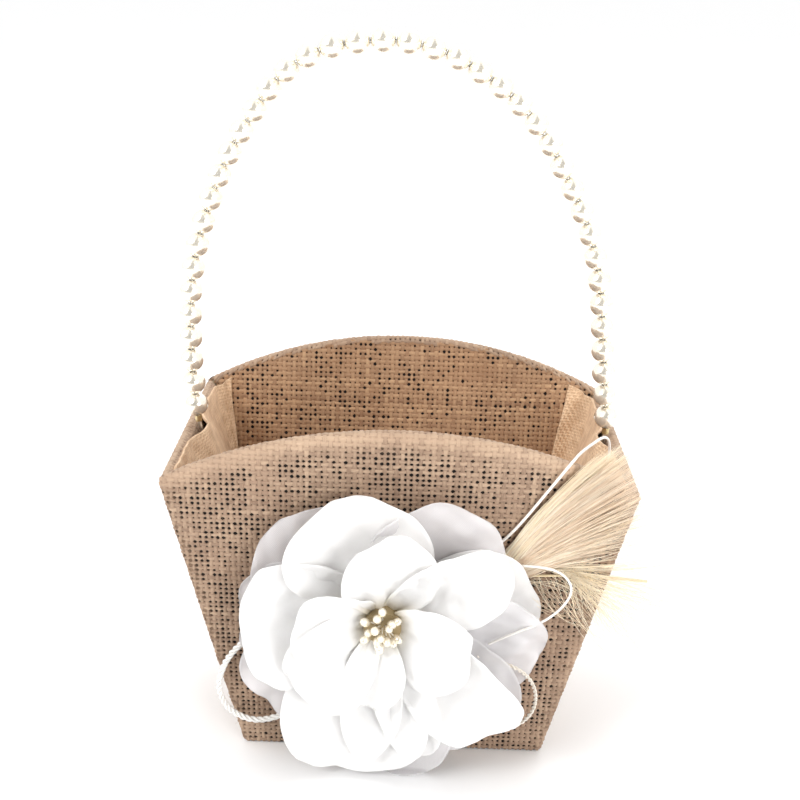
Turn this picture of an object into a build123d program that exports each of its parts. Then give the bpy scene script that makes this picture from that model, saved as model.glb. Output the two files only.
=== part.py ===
from build123d import *
import os
from math import atan, cos, floor, pi, radians, sin, tan

# Flower girl basket: four burlap-covered card walls on a card floor, a swinging handle of
# pearls on a spring wire, and a chiffon flower with feathers and cords on the front wall.
# Millimetres. +Z is up, the flower faces -Y, and the origin is the middle of the
# underside of the base.

# --- basket body -----------------------------------------------------------------------
TOP_WIDTH = 150.0           # outside, at the top corners, along X
BOTTOM_WIDTH = 104.0
TOP_DEPTH = 94.0            # outside, at the top corners, along Y
BOTTOM_DEPTH = 62.0
CORNER_HEIGHT = 107.0       # height of the four top corners
ARCH_RISE = 19.0            # how far the front and back walls arch above their corners

COVER_T = 0.9               # burlap
BOARD_T = 1.5               # card in the walls
BASE_BOARD_T = 2.0          # card in the floor
LINING_T = 0.8              # inner cloth
HEM_DEPTH = 9.0             # how far the burlap turns down inside a side wall's top edge
FACE_HEM_DEPTH = 3.0        # the same inside the front and back walls
LINING_GAP = 0.2            # between the hem's raw edge and the lining

# --- handle ----------------------------------------------------------------------------
PIVOT_BELOW_RIM = 6.0       # handle's turning axis below the side walls' top edge
POCKET_GAP = 3.4            # space behind each side lining, at the middle of the side
WIRE_D = 1.4
PIN_D = 1.6
PIN_HEAD_D = 3.6
PIN_HEAD_T = 0.5
EYE_CLEARANCE = 0.08        # radial, between a pin and the wire eye that turns on it
PIN_HOLE_CLEARANCE = 0.05   # radial, in the card and the hem
HEAD_CLEARANCE = 0.23       # between the eye and the pin's head
LINING_CLEARANCE = 0.52     # between the pin's head and the lining
# From the hem's inner face to the middle of the eye
EYE_OFFSET = POCKET_GAP - LINING_CLEARANCE - PIN_HEAD_T - HEAD_CLEARANCE - WIRE_D / 2
HANDLE_RISE = 138.0         # from the turning axis to the top of the wire's outline
PEARL_D = 8.0
PEARL_PITCH = 8.05
PEARL_BORE_CLEARANCE = 0.25 # radial, between a pearl's bore and the wire
SHORTEST_LEG = 12.2         # wire below the middle of the first pearl
CRIMP_D = 2.4
CRIMP_LENGTH = 2.0
CRIMP_CLEARANCE = 0.05      # radial, on the wire
CRIMP_GAP = 0.1             # between a crimp and the first pearl

# The wire's outline between its two straight legs, left to right: the first number is a
# share of the distance from the middle to an eye, the second a share of HANDLE_RISE.
HANDLE_OUTLINE = [
    (-1.051, 0.225), (-1.033, 0.465), (-0.864, 0.716), (-0.525, 0.968),
    (0.072, 0.998), (0.560, 0.846), (0.909, 0.536), (0.987, 0.202),
]
LEG_SHARE = 0.065           # height of each straight leg, as a share of HANDLE_RISE

# --- flower ----------------------------------------------------------------------------
FLOWER_X = -4.0             # flower's middle on the front wall
FLOWER_Z = 63.0
FELT_R = 17.0               # felt disc behind the flower
FELT_T = 1.2
CORE_R = 6.0                # bound stem that the petals are gathered to
CORE_HEIGHT = 13.5          # from the wall
PETAL_ROOT = 5.0            # petals start this far from the flower's axis, inside the core

# Each layer: turn of each petal in degrees, reach, half width, height of its root above
# the wall, radius of its dish, thickness and sideways tilt.
ORGANZA_TURNS = [3, 54, 133, 176, 218, 272, 322]
ORGANZA = dict(reach=52.0, half_width=20.0, root=3.0, dish=200.0, thickness=0.3, tilt=5.0)
OUTER_TURNS = [38, 96, 178, 252, 326]
OUTER = dict(reach=50.0, half_width=20.0, root=7.0, dish=100.0, thickness=0.4, tilt=6.0)
INNER_TURNS = [70, 140, 215, 285, 355]
INNER = dict(reach=29.0, half_width=13.5, root=10.5, dish=45.0, thickness=0.4, tilt=7.0)

STAMEN_D = 0.5
STAMEN_BEAD_D = 3.2
STAMEN_RINGS = [(1, 0.0, 21.0), (4, 3.7, 20.0), (6, 7.0, 18.5)]   # count, radius, height
STAMEN_ROOT_SHARE = 0.5     # a stamen leaves the core at this share of its bead's radius

# --- feathers --------------------------------------------------------------------------
UPPER_VANE = [(44.5, 22.5), (69.5, 64.5), (76.5, 61.0), (80.0, 39.0), (69.0, 22.0),
              (49.0, 15.5)]
UPPER_VANE_FROM = 0.6       # above the wall
UPPER_VANE_T = 1.6
LOWER_VANE = [(49.0, 13.0), (92.0, 50.0), (101.0, 36.0), (104.0, 2.0), (80.0, -6.0),
              (58.0, 2.0)]
LOWER_VANE_FROM = 2.5
LOWER_VANE_T = 1.0
VANE_CORNER_R = 2.0
UPPER_QUILL = [(15.4, 10.0, 1.4), (42.0, 24.0, 1.4), (66.0, 46.0, 1.4)]
LOWER_QUILL = [(16.4, 8.4, 1.4), (48.0, 14.5, 2.6), (84.0, 14.0, 3.0)]
QUILL_D = 0.8
BINDING_FROM = 19.0         # from the flower's axis, along the quills
BINDING_LENGTH = 6.0
BINDING_TURN = 29.5         # direction of the quills there, in degrees
BINDING_RADII = (1.9, 0.85)

# --- cords: route points in the basket's frame -------------------------------------------
LEFT_LOOP_D = 2.2
LEFT_LOOP = [
    (-21.5, -41.1, 58.0), (-32.0, -41.0, 55.2), (-42.5, -40.7, 51.5), (-51.5, -40.1, 45.5),
    (-57.6, -39.1, 36.5), (-60.0, -37.9, 26.0), (-56.8, -36.7, 16.8), (-48.5, -36.0, 11.8),
    (-39.0, -36.2, 14.2), (-31.0, -36.6, 20.5), (-24.0, -37.2, 28.5), (-18.5, -38.2, 38.0),
    (-15.0, -39.5, 47.5),
]
TIE_CORD_D = 0.9
TIE_CORD = [
    (8.5, -43.4, 76.2), (21.0, -44.4, 82.6), (32.3, -45.0, 85.9), (52.6, -51.3, 120.0),
    (55.8, -46.4, 121.4), (70.2, -14.8, 116.0), (69.8, -13.0, 104.0),
]
FINE_LOOP_D = 0.8
FINE_LOOP = [
    (19.0, -45.7, 76.9), (30.0, -47.3, 80.7), (41.5, -48.6, 82.5), (51.5, -49.2, 81.4),
    (56.3, -49.9, 75.7), (53.5, -51.1, 69.5), (46.5, -52.3, 63.8), (38.0, -49.9, 58.6),
    (30.5, -47.6, 52.8),
]
PETAL_LOOP_D = 1.4
PETAL_LOOP = [
    (27.0, -48.0, 48.7), (36.0, -49.2, 47.0), (43.5, -48.6, 42.6), (47.5, -46.4, 34.3),
    (47.0, -44.8, 24.9), (41.0, -43.8, 18.0), (32.5, -43.8, 19.5), (24.5, -44.3, 26.0),
]

# --- derived ---------------------------------------------------------------------------
SIDE_SLOPE = (TOP_WIDTH - BOTTOM_WIDTH) / 2 / CORNER_HEIGHT
FACE_SLOPE = (TOP_DEPTH - BOTTOM_DEPTH) / 2 / CORNER_HEIGHT
SIDE_LEAN = atan(SIDE_SLOPE)
FACE_LEAN = atan(FACE_SLOPE)
WALL_T = COVER_T + BOARD_T + COVER_T          # burlap, card and turned-down burlap
FLOOR_TOP = COVER_T + BASE_BOARD_T + LINING_T
ARCH_R = ((TOP_WIDTH / 2) ** 2 + ARCH_RISE ** 2) / (2 * ARCH_RISE)
ARCH_CENTRE_Z = CORNER_HEIGHT + ARCH_RISE - ARCH_R
CUT_MARGIN = 10.0                             # how far cutting shapes run past the body
TALL = CORNER_HEIGHT + ARCH_RISE + CUT_MARGIN
WIDE = TOP_WIDTH + TOP_DEPTH                  # wider than the basket's body
PIVOT_Z = CORNER_HEIGHT - PIVOT_BELOW_RIM


def half_width(z):
    """Outside half width of the body at a height."""
    return BOTTOM_WIDTH / 2 + SIDE_SLOPE * z


def half_depth(z):
    """Outside half depth of the body at a height."""
    return BOTTOM_DEPTH / 2 + FACE_SLOPE * z


def side_inset(t):
    """Horizontal distance that a thickness takes up across a leaning side wall."""
    return t / cos(SIDE_LEAN)


def face_inset(t):
    """Horizontal distance that a thickness takes up across the front or back wall."""
    return t / cos(FACE_LEAN)


# --- building blocks: each is a long prism, and a wall layer is where two of them meet ----
def along_y(points):
    """Prism along Y through the whole body, from its outline in X and Z."""
    outline = make_face(Polyline(*points, close=True))
    return extrude(Plane.XZ.offset(-WIDE) * outline, amount=2 * WIDE, dir=(0, -1, 0))


def along_x(points):
    """Prism along X through the whole body, from its outline in Y and Z."""
    outline = make_face(Polyline(*points, close=True))
    return extrude(Plane.YZ.offset(-WIDE) * outline, amount=2 * WIDE, dir=(1, 0, 0))


def within_sides(inset, z0, z1):
    """Everything further in than an inset from both side walls, between two heights."""
    low, high = half_width(z0) - side_inset(inset), half_width(z1) - side_inset(inset)
    return along_y([(-low, z0), (low, z0), (high, z1), (-high, z1)])


def within_faces(inset, z0, z1):
    """Everything further in than an inset from the front and back walls."""
    low, high = half_depth(z0) - face_inset(inset), half_depth(z1) - face_inset(inset)
    return along_x([(-low, z0), (low, z0), (high, z1), (-high, z1)])


def side_slab(side, outer, inner, z0, z1):
    """One layer of a side wall, between two insets; side is -1 for left, 1 for right."""
    a, b = side_inset(outer), side_inset(inner)
    low, high = half_width(z0), half_width(z1)
    return along_y([(side * (low - a), z0), (side * (high - a), z1),
                    (side * (high - b), z1), (side * (low - b), z0)])


def face_slab(face, outer, inner, z0, z1):
    """One layer of the front (-1) or back (1) wall, between two insets."""
    a, b = face_inset(outer), face_inset(inner)
    low, high = half_depth(z0), half_depth(z1)
    return along_x([(face * (low - a), z0), (face * (high - a), z1),
                    (face * (high - b), z1), (face * (low - b), z0)])


def under_arch(drop):
    """Everything below the arched top edge, lowered by a drop."""
    barrel = Cylinder(ARCH_R - drop, 2 * WIDE)
    return Pos(0, 0, ARCH_CENTRE_Z) * Rot(90, 0, 0) * barrel


# --- front and back walls ----------------------------------------------------------------
def face_cover(face):
    """Burlap over the whole outside, capping the card's top edge and turned down inside."""
    outside = face_slab(face, 0, COVER_T, 0, TALL) & within_sides(0, 0, TALL) & under_arch(0)
    cap = (face_slab(face, COVER_T, COVER_T + BOARD_T, 0, TALL)
           & within_sides(COVER_T, 0, TALL) & under_arch(0)) - under_arch(COVER_T)
    hem = (face_slab(face, COVER_T + BOARD_T, WALL_T, 0, TALL)
           & within_sides(WALL_T, 0, TALL) & under_arch(0)) - under_arch(FACE_HEM_DEPTH)
    return outside + cap + hem


def face_board(face):
    return (face_slab(face, COVER_T, COVER_T + BOARD_T, COVER_T, TALL)
            & within_sides(COVER_T, COVER_T, TALL) & under_arch(COVER_T))


def face_lining(face):
    outer = COVER_T + BOARD_T
    return (face_slab(face, outer, outer + LINING_T, FLOOR_TOP, TALL)
            & within_sides(WALL_T, FLOOR_TOP, TALL)
            & under_arch(FACE_HEM_DEPTH + LINING_GAP))


# --- side walls ----------------------------------------------------------------------------
def eye_x():
    """Distance of the handle's eyes from the middle of the basket."""
    return half_width(PIVOT_Z) - side_inset(WALL_T) - EYE_OFFSET


def pin_hole(side):
    hole = Cylinder(PIN_D / 2 + PIN_HOLE_CLEARANCE, 2 * (half_width(PIVOT_Z) - eye_x()))
    return Pos(side * half_width(PIVOT_Z), 0, PIVOT_Z) * Rot(0, 90, 0) * hole


def side_cover(side):
    """Burlap outside, a cap over the card's top edge, and the turned-down hem."""
    outside = (side_slab(side, 0, COVER_T, 0, CORNER_HEIGHT)
               & within_faces(COVER_T, 0, CORNER_HEIGHT))
    cap = (side_slab(side, COVER_T, WALL_T, CORNER_HEIGHT - COVER_T, CORNER_HEIGHT)
           & within_faces(COVER_T + BOARD_T, 0, CORNER_HEIGHT))
    hem = (side_slab(side, COVER_T + BOARD_T, WALL_T, CORNER_HEIGHT - HEM_DEPTH, CORNER_HEIGHT)
           & within_faces(COVER_T + BOARD_T, 0, CORNER_HEIGHT))
    inside_only = along_y([
        (side * (half_width(0) - side_inset(COVER_T)), 0),
        (side * (half_width(TALL) - side_inset(COVER_T)), TALL), (0, TALL), (0, 0)])
    return outside + cap + (hem - (pin_hole(side) & inside_only))


def side_board(side):
    top = CORNER_HEIGHT - COVER_T
    card = (side_slab(side, COVER_T, COVER_T + BOARD_T, COVER_T, top)
            & within_faces(COVER_T + BOARD_T, COVER_T, top))
    return card - pin_hole(side)


def side_lining(side):
    """Cloth bowed inwards, so that a pocket is left between it and the turned-down hem."""
    edge = half_width(0) - side_inset(WALL_T)
    bowed = edge - side_inset(POCKET_GAP)
    t = side_inset(LINING_T)
    reach = half_depth(CORNER_HEIGHT) - face_inset(WALL_T)
    crescent = make_face([
        ThreePointArc((side * edge, -reach), (side * bowed, 0), (side * edge, reach)),
        Line((side * edge, reach), (side * (edge - t), reach)),
        ThreePointArc((side * (edge - t), reach), (side * (bowed - t), 0),
                      (side * (edge - t), -reach)),
        Line((side * (edge - t), -reach), (side * edge, -reach)),
    ])
    up_the_wall = Vector(side * SIDE_SLOPE, 0, 1)
    sheet = extrude(crescent, amount=CORNER_HEIGHT * up_the_wall.length, dir=up_the_wall)
    return sheet & within_faces(WALL_T, FLOOR_TOP, CORNER_HEIGHT)


def anchor_pin(side):
    """Brad through the card, with its flat head in the pocket to keep the eye on."""
    head_out = eye_x() - WIRE_D / 2 - HEAD_CLEARANCE
    tip = half_width(PIVOT_Z - PIN_D / 2) - side_inset(COVER_T)
    shank = Cylinder(PIN_D / 2, tip - head_out, align=(Align.CENTER, Align.CENTER, Align.MIN))
    head = Cylinder(PIN_HEAD_D / 2, PIN_HEAD_T, align=(Align.CENTER, Align.CENTER, Align.MAX))
    return Pos(side * head_out, 0, PIVOT_Z) * Rot(0, side * 90, 0) * (shank + head)


# --- floor -----------------------------------------------------------------------------------
def floor_layer(inset, z0, z1):
    return within_sides(inset, z0, z1) & within_faces(inset, z0, z1)


# --- handle ----------------------------------------------------------------------------------
EYE_R = PIN_D / 2 + EYE_CLEARANCE + WIRE_D / 2      # to the middle of the eye's wire


ARC_SHARE = 0.45            # of the shorter run beside a corner, taken up by its arc


def corner_radii(points):
    """Largest tangent arc at each corner that leaves a tenth of the shorter run straight."""
    radii = []
    for before, corner, after in zip(points, points[1:], points[2:]):
        run_in, run_out = corner - before, after - corner
        half_turn = radians(run_in.get_angle(run_out)) / 2
        radii.append(ARC_SHARE * min(run_in.length, run_out.length) / tan(half_turn))
    return radii


def smooth_route(points):
    points = [Vector(*p) for p in points]
    return FilletPolyline(*points, radius=corner_radii(points))


def handle_route():
    """Middle line of the wire, from the top of the left eye over to the right one."""
    foot = Vector(eye_x(), 0, PIVOT_Z + EYE_R)
    leg_rise = LEG_SHARE * HANDLE_RISE - EYE_R
    knee = foot + Vector(SIDE_SLOPE * leg_rise, 0, leg_rise)
    outline = [(x * eye_x(), 0, PIVOT_Z + z * HANDLE_RISE) for x, z in HANDLE_OUTLINE]
    left = [(-foot.X, 0, foot.Z), (-knee.X, 0, knee.Z)]
    right = [(knee.X, 0, knee.Z), (foot.X, 0, foot.Z)]
    return smooth_route(left + outline + right)


def pearl_distances(route):
    """Middle of each pearl along the wire, with equal bare legs at both ends."""
    room = route.length - 2 * SHORTEST_LEG
    gaps = floor(room / PEARL_PITCH)
    first = (route.length - gaps * PEARL_PITCH) / 2
    return [first + i * PEARL_PITCH for i in range(gaps + 1)]


def on_wire(route, distance):
    """Plane square to the wire at a distance along it."""
    spot = route.position_at(distance, position_mode=PositionMode.LENGTH)
    ahead = route.tangent_at(distance, position_mode=PositionMode.LENGTH)
    return Plane(origin=spot, z_dir=ahead)


def handle_wire(route):
    wire = sweep(Plane(origin=route @ 0, z_dir=route % 0) * Circle(WIRE_D / 2), path=route)
    for side in (-1, 1):
        eye = Rot(0, 90, 0) * Torus(EYE_R, WIRE_D / 2)
        wire += Pos(side * eye_x(), 0, PIVOT_Z) * eye
    return wire


def pearls(route):
    pearl = Sphere(PEARL_D / 2) - Cylinder(WIRE_D / 2 + PEARL_BORE_CLEARANCE, 2 * PEARL_D)
    return [on_wire(route, d) * pearl for d in pearl_distances(route)]


def crimp(route, side):
    """Tube that stops the end pearl on its bare leg."""
    first = pearl_distances(route)[0]
    middle = first - PEARL_D / 2 - CRIMP_GAP - CRIMP_LENGTH / 2
    distance = middle if side < 0 else route.length - middle
    tube = (Cylinder(CRIMP_D / 2, CRIMP_LENGTH)
            - Cylinder(WIRE_D / 2 + CRIMP_CLEARANCE, 2 * CRIMP_LENGTH))
    return on_wire(route, distance) * tube


# --- flower ------------------------------------------------------------------------------------
# The flower's own plane lies on the front wall: X to the right, Y up the wall, Z outwards.
FLOWER = Plane(origin=(FLOWER_X, -half_depth(FLOWER_Z), FLOWER_Z), x_dir=(1, 0, 0),
               z_dir=(0, -cos(FACE_LEAN), -sin(FACE_LEAN)))


def upright(radius, z0, z1):
    return Pos(0, 0, z0) * Cylinder(radius, z1 - z0, align=(Align.CENTER, Align.CENTER, Align.MIN))


def petal(turn, reach, half_width, root, dish, thickness, tilt):
    """Dished oval petal, tilted so that each one laps over the next, as far in as the core."""
    long_r = (reach - PETAL_ROOT) / 2
    oval = Pos(PETAL_ROOT + long_r, 0, 0) * Ellipse(long_r, half_width)
    blank = Rot(tilt, 0, 0) * extrude(Pos(0, 0, -dish) * oval, amount=2 * dish)
    shell = Sphere(dish) - Sphere(dish - thickness)
    leaf = Rot(tilt, 0, 0) * Pos(0, 0, dish) * shell & blank
    leaf = Pos(0, 0, root) * leaf
    return FLOWER * (Rot(0, 0, turn) * leaf - upright(CORE_R, 0, CORE_HEIGHT + dish))


def stamen_spots():
    """Centre of each bead, in rings round the flower's axis."""
    spots = []
    for count, radius, height in STAMEN_RINGS:
        for i in range(count):
            turn = radians(360 / count * (i + 0.5))
            spots.append(Vector(radius * cos(turn), radius * sin(turn), height))
    return spots


def stamen_bead(spot):
    return Pos(*spot) * Sphere(STAMEN_BEAD_D / 2)


def stamen_wire(spot):
    root = Vector(spot.X * STAMEN_ROOT_SHARE, spot.Y * STAMEN_ROOT_SHARE, CORE_HEIGHT)
    run = spot - root
    stem = Cylinder(STAMEN_D / 2, run.length, align=(Align.CENTER, Align.CENTER, Align.MIN))
    below = upright(2 * CORE_R, 0, CORE_HEIGHT)
    return Plane(origin=root, z_dir=run) * stem - stamen_bead(spot) - below


# --- feathers ----------------------------------------------------------------------------------
def quill(points):
    path = ThreePointArc(*points)
    return sweep(Plane(origin=path @ 0, z_dir=path % 0) * Circle(QUILL_D / 2), path=path)


def vane(outline, start, thickness, rib):
    blade = make_face(Polyline(*outline, close=True))
    blade = fillet(blade.vertices(), VANE_CORNER_R)
    return extrude(Pos(0, 0, start) * blade, amount=thickness) - rib


def binding(ribs):
    """Thread wound round the quills, as one sleeve."""
    sleeve = extrude(Ellipse(*BINDING_RADII), amount=BINDING_LENGTH)
    across = (-sin(radians(BINDING_TURN)), cos(radians(BINDING_TURN)), 0)
    along = (cos(radians(BINDING_TURN)), sin(radians(BINDING_TURN)), 0)
    origin = Vector(*along) * BINDING_FROM + Vector(0, 0, UPPER_QUILL[0][2])
    sleeve = Plane(origin=origin, x_dir=across, z_dir=along) * sleeve
    for rib in ribs:
        sleeve -= rib
    return sleeve


# --- cords -------------------------------------------------------------------------------------
def cord(name, points, diameter):
    route = smooth_route(points)
    tube = sweep(Plane(origin=route @ 0, z_dir=route % 0) * Circle(diameter / 2), path=route)
    section = pi * (diameter / 2) ** 2
    radii = corner_radii([Vector(*p) for p in points])
    print(f"{name}: length {route.length:.1f} mm, smallest radius {min(radii):.1f} mm,",
          f"volume over section times length {tube.volume / section / route.length:.4f}")
    return tube


def write(name, shape):
    """One STEP file for one piece, or for one group of like pieces."""
    if isinstance(shape, list):
        shape = Compound(children=shape)
    export_step(shape, f"parts/{name}.step")


def main():
    os.makedirs("parts", exist_ok=True)

    for name, face in (("front", -1), ("back", 1)):
        write(f"{name}_cover", face_cover(face))
        write(f"{name}_board", face_board(face))
        write(f"{name}_lining", face_lining(face))
    for name, side in (("left", -1), ("right", 1)):
        write(f"{name}_cover", side_cover(side))
        write(f"{name}_board", side_board(side))
        write(f"{name}_lining", side_lining(side))
        write(f"{name}_anchor_pin", anchor_pin(side))
    write("base_cover", floor_layer(COVER_T, 0, COVER_T))
    write("base_board", floor_layer(COVER_T + BOARD_T, COVER_T, COVER_T + BASE_BOARD_T))
    write("base_lining", floor_layer(COVER_T + BOARD_T, FLOOR_TOP - LINING_T, FLOOR_TOP))

    route = handle_route()
    write("handle_wire", handle_wire(route))
    write("handle_pearls", pearls(route))
    write("left_end_crimp", crimp(route, -1))
    write("right_end_crimp", crimp(route, 1))
    print(f"wire {route.length:.1f} mm, {len(pearl_distances(route))} pearls")

    write("flower_felt", FLOWER * upright(FELT_R, 0, FELT_T))
    write("flower_core", FLOWER * upright(CORE_R, FELT_T, CORE_HEIGHT))
    for name, turns, layer in (("organza", ORGANZA_TURNS, ORGANZA),
                               ("outer", OUTER_TURNS, OUTER), ("inner", INNER_TURNS, INNER)):
        for i, turn in enumerate(turns, 1):
            write(f"{name}_petal_{i}", petal(turn, **layer))
    write("stamen_wires", [FLOWER * stamen_wire(spot) for spot in stamen_spots()])
    write("stamen_beads", [FLOWER * stamen_bead(spot) for spot in stamen_spots()])

    ribs = [quill(UPPER_QUILL), quill(LOWER_QUILL)]
    write("upper_quill", FLOWER * ribs[0])
    write("lower_quill", FLOWER * ribs[1])
    write("upper_vane", FLOWER * vane(UPPER_VANE, UPPER_VANE_FROM, UPPER_VANE_T, ribs[0]))
    write("lower_vane", FLOWER * vane(LOWER_VANE, LOWER_VANE_FROM, LOWER_VANE_T, ribs[1]))
    write("feather_binding", FLOWER * binding(ribs))

    write("left_loop_cord", cord("left_loop_cord", LEFT_LOOP, LEFT_LOOP_D))
    write("handle_tie_cord", cord("handle_tie_cord", TIE_CORD, TIE_CORD_D))
    write("fine_loop_cord", cord("fine_loop_cord", FINE_LOOP, FINE_LOOP_D))
    write("petal_loop_cord", cord("petal_loop_cord", PETAL_LOOP, PETAL_LOOP_D))


main()
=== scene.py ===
# %% [markdown]
# # A flower girl's basket
# Four stiff walls of card are covered in burlap, and a big white chiffon flower sits on
# the front one. A handle of pearls on a spring wire swings between the side walls.
# The hard parts come from a imported model, the frame. This lesson dresses that frame:
# cloth is woven from threads, petals are bent from sheets, and pearls are strung on.
# We start by loading the frame.

# %% Load the frame
import math
import bmesh
import bpy
import numpy as np
from mathutils import Matrix, Vector


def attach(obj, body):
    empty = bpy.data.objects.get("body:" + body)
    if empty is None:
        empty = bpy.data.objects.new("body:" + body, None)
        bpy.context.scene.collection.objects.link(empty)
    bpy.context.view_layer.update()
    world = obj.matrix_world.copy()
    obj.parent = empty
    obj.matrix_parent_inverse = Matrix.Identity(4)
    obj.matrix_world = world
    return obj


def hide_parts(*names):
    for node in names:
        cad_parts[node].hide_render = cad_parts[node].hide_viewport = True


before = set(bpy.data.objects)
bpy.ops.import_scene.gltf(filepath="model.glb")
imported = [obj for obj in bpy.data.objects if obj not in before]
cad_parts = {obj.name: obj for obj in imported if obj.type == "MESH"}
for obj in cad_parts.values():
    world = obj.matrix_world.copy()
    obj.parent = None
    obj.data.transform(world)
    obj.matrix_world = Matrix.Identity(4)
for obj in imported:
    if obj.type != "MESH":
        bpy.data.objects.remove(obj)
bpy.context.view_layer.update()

# %% [markdown]
# ## The camera
# A basket is best seen from a little above, through a slightly long lens, so that its
# mouth shows. The camera is placed by its own spot, the spot it looks at and a small
# roll, because those are what a person with a tripod sets. A matrix made of the right, up
# and back directions then turns it exactly, with no guessing of angles.

# %% Camera
CAMERA_SPOT = Vector((0.00224, -0.39506, 0.26646))
CAMERA_TARGET = Vector((-0.00095, 0.0, 0.11866))
CAMERA_ROLL = math.radians(1.66)
LENS = 55.4           # focal length, in millimetres
SENSOR_WIDTH = 36.0
NEAREST = 0.01        # the camera sees nothing closer than this, in metres
camera = bpy.data.objects.new("camera", bpy.data.cameras.new("camera"))
bpy.context.scene.collection.objects.link(camera)
camera.data.lens = LENS
camera.data.sensor_width = SENSOR_WIDTH
camera.data.clip_start = NEAREST
sight = (CAMERA_TARGET - CAMERA_SPOT).normalized()
level = sight.cross(Vector((0, 0, 1))).normalized()
rise = level.cross(sight)
right = math.cos(CAMERA_ROLL) * level + math.sin(CAMERA_ROLL) * rise
up = math.cos(CAMERA_ROLL) * rise - math.sin(CAMERA_ROLL) * level
turn = Matrix((right, up, -sight)).transposed().to_4x4()
camera.matrix_world = Matrix.Translation(CAMERA_SPOT) @ turn
bpy.context.scene.camera = camera
print("camera looks down", round(math.degrees(math.asin(-sight.z)), 1), "degrees")

# %% [markdown]
# ## The studio
# White flowers on a white ground need even light, or they burn out on one side. A plain
# pale floor, a white sky and three big soft lamps do it. The lamps are large for their
# distance, because a large lamp makes soft shadow edges. The Standard view keeps white
# cloth white. The sky has one dark gap, a tall triangle behind the camera with its peak
# overhead. The camera never sees it, but every pearl mirrors it as a grey wedge, and a
# white ball with nothing dark to mirror would not look like a pearl at all. The floor is
# a stage: it is not part of the basket.

# %% Floor, sky and lamps
bpy.context.scene.view_settings.view_transform = "Standard"
FLOOR_HALF = 40.0
floor_mesh = bpy.data.meshes.new("floor")
floor_corners = [(-FLOOR_HALF, -FLOOR_HALF, 0), (FLOOR_HALF, -FLOOR_HALF, 0),
                 (FLOOR_HALF, FLOOR_HALF, 0), (-FLOOR_HALF, FLOOR_HALF, 0)]
floor_mesh.from_pydata(floor_corners, [], [(0, 1, 2, 3)])
floor = bpy.data.objects.new("floor", floor_mesh)
bpy.context.scene.collection.objects.link(floor)
paper = bpy.data.materials.new("pale_paper")
paper.use_nodes = True
paper.node_tree.nodes["Principled BSDF"].inputs["Base Color"].default_value = (.93, .93, .93, 1)
paper.node_tree.nodes["Principled BSDF"].inputs["Roughness"].default_value = 0.9
floor_mesh.materials.append(paper)

SKY_STRENGTH = 1.2
DARK_SHARE = 0.16     # brightness of the dark gap in the sky, as a share of the rest
GAP_LEAN = 1.25       # how steeply the gap's two sides lean in to its peak
GAP_EDGE = (0.98, 1.12)   # where its soft edge begins and ends
FAR_LIFT = 2.0        # takes the far half of the sky past that edge, so it has no gap
LAMP_TARGET = Vector((0, 0, 0.1))
sky = bpy.data.worlds.new("sky")
sky.use_nodes = True
sky_tree = sky.node_tree
backdrop = sky_tree.nodes["Background"]
backdrop.inputs["Strength"].default_value = SKY_STRENGTH


def sky_maths(operation, first, second):
    """A sum in the sky's tree: each side is a number or another node's output."""
    node = sky_tree.nodes.new("ShaderNodeMath")
    node.operation = operation
    for socket, value in zip(node.inputs, (first, second)):
        if isinstance(value, (int, float)):
            socket.default_value = value
        else:
            sky_tree.links.new(value, socket)
    return node.outputs[0]


look_way = sky_tree.nodes.new("ShaderNodeTexCoord")
apart = sky_tree.nodes.new("ShaderNodeSeparateXYZ")
sky_tree.links.new(look_way.outputs["Generated"], apart.inputs[0])
sideways = sky_maths("ABSOLUTE", apart.outputs["X"], 0.0)
from_peak = sky_maths("ADD", sky_maths("MULTIPLY", sideways, GAP_LEAN), apart.outputs["Z"])
far_half = sky_maths("GREATER_THAN", apart.outputs["Y"], 0.0)
lifted = sky_maths("ADD", from_peak, sky_maths("MULTIPLY", far_half, FAR_LIFT))
shade = sky_tree.nodes.new("ShaderNodeMapRange")
shade.inputs["From Min"].default_value = GAP_EDGE[0]
shade.inputs["From Max"].default_value = GAP_EDGE[1]
shade.inputs["To Min"].default_value = DARK_SHARE
shade.inputs["To Max"].default_value = 1.0
sky_tree.links.new(lifted, shade.inputs["Value"])
sky_tree.links.new(shade.outputs["Result"], backdrop.inputs["Color"])
bpy.context.scene.world = sky


def soft_lamp(name, spot, size, watts):
    """A square area lamp that points at the basket."""
    lamp = bpy.data.lights.new(name, "AREA")
    lamp.size = size
    lamp.energy = watts
    holder = bpy.data.objects.new(name, lamp)
    bpy.context.scene.collection.objects.link(holder)
    aim = LAMP_TARGET - Vector(spot)
    holder.matrix_world = (Matrix.Translation(spot)
                           @ aim.to_track_quat("-Z", "Y").to_matrix().to_4x4())


soft_lamp("key", (-0.95, -0.85, 0.95), 0.5, 10.5)
soft_lamp("fill", (0.75, -1.15, 0.45), 0.6, 10.0)
soft_lamp("rim", (0.3, 1.0, 1.0), 0.8, 4.0)
print("studio: 1 floor,", len(bpy.data.lights), "lamps")

# %% [markdown]
# ## Numbers, meshes and lists
# The basket was drawn in millimetres and Blender counts in metres, so one value turns one
# into the other. Most pieces here are grids of points, so a few helpers make a grid's
# faces, put a finished piece in the scene and give a cloth its thickness. A piece keeps
# its place in its mesh, with its object at the origin, because the basket is assembled
# in one shared frame.

# %% Helpers for meshes
MM = 0.001


def grid_faces(rows, columns, first=0):
    """Quads between neighbouring rows and columns of a grid of points."""
    r, c = np.meshgrid(np.arange(rows - 1), np.arange(columns - 1), indexing="ij")
    a = (first + r * columns + c).ravel()
    return np.stack([a, a + 1, a + columns + 1, a + columns], axis=1)


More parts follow.
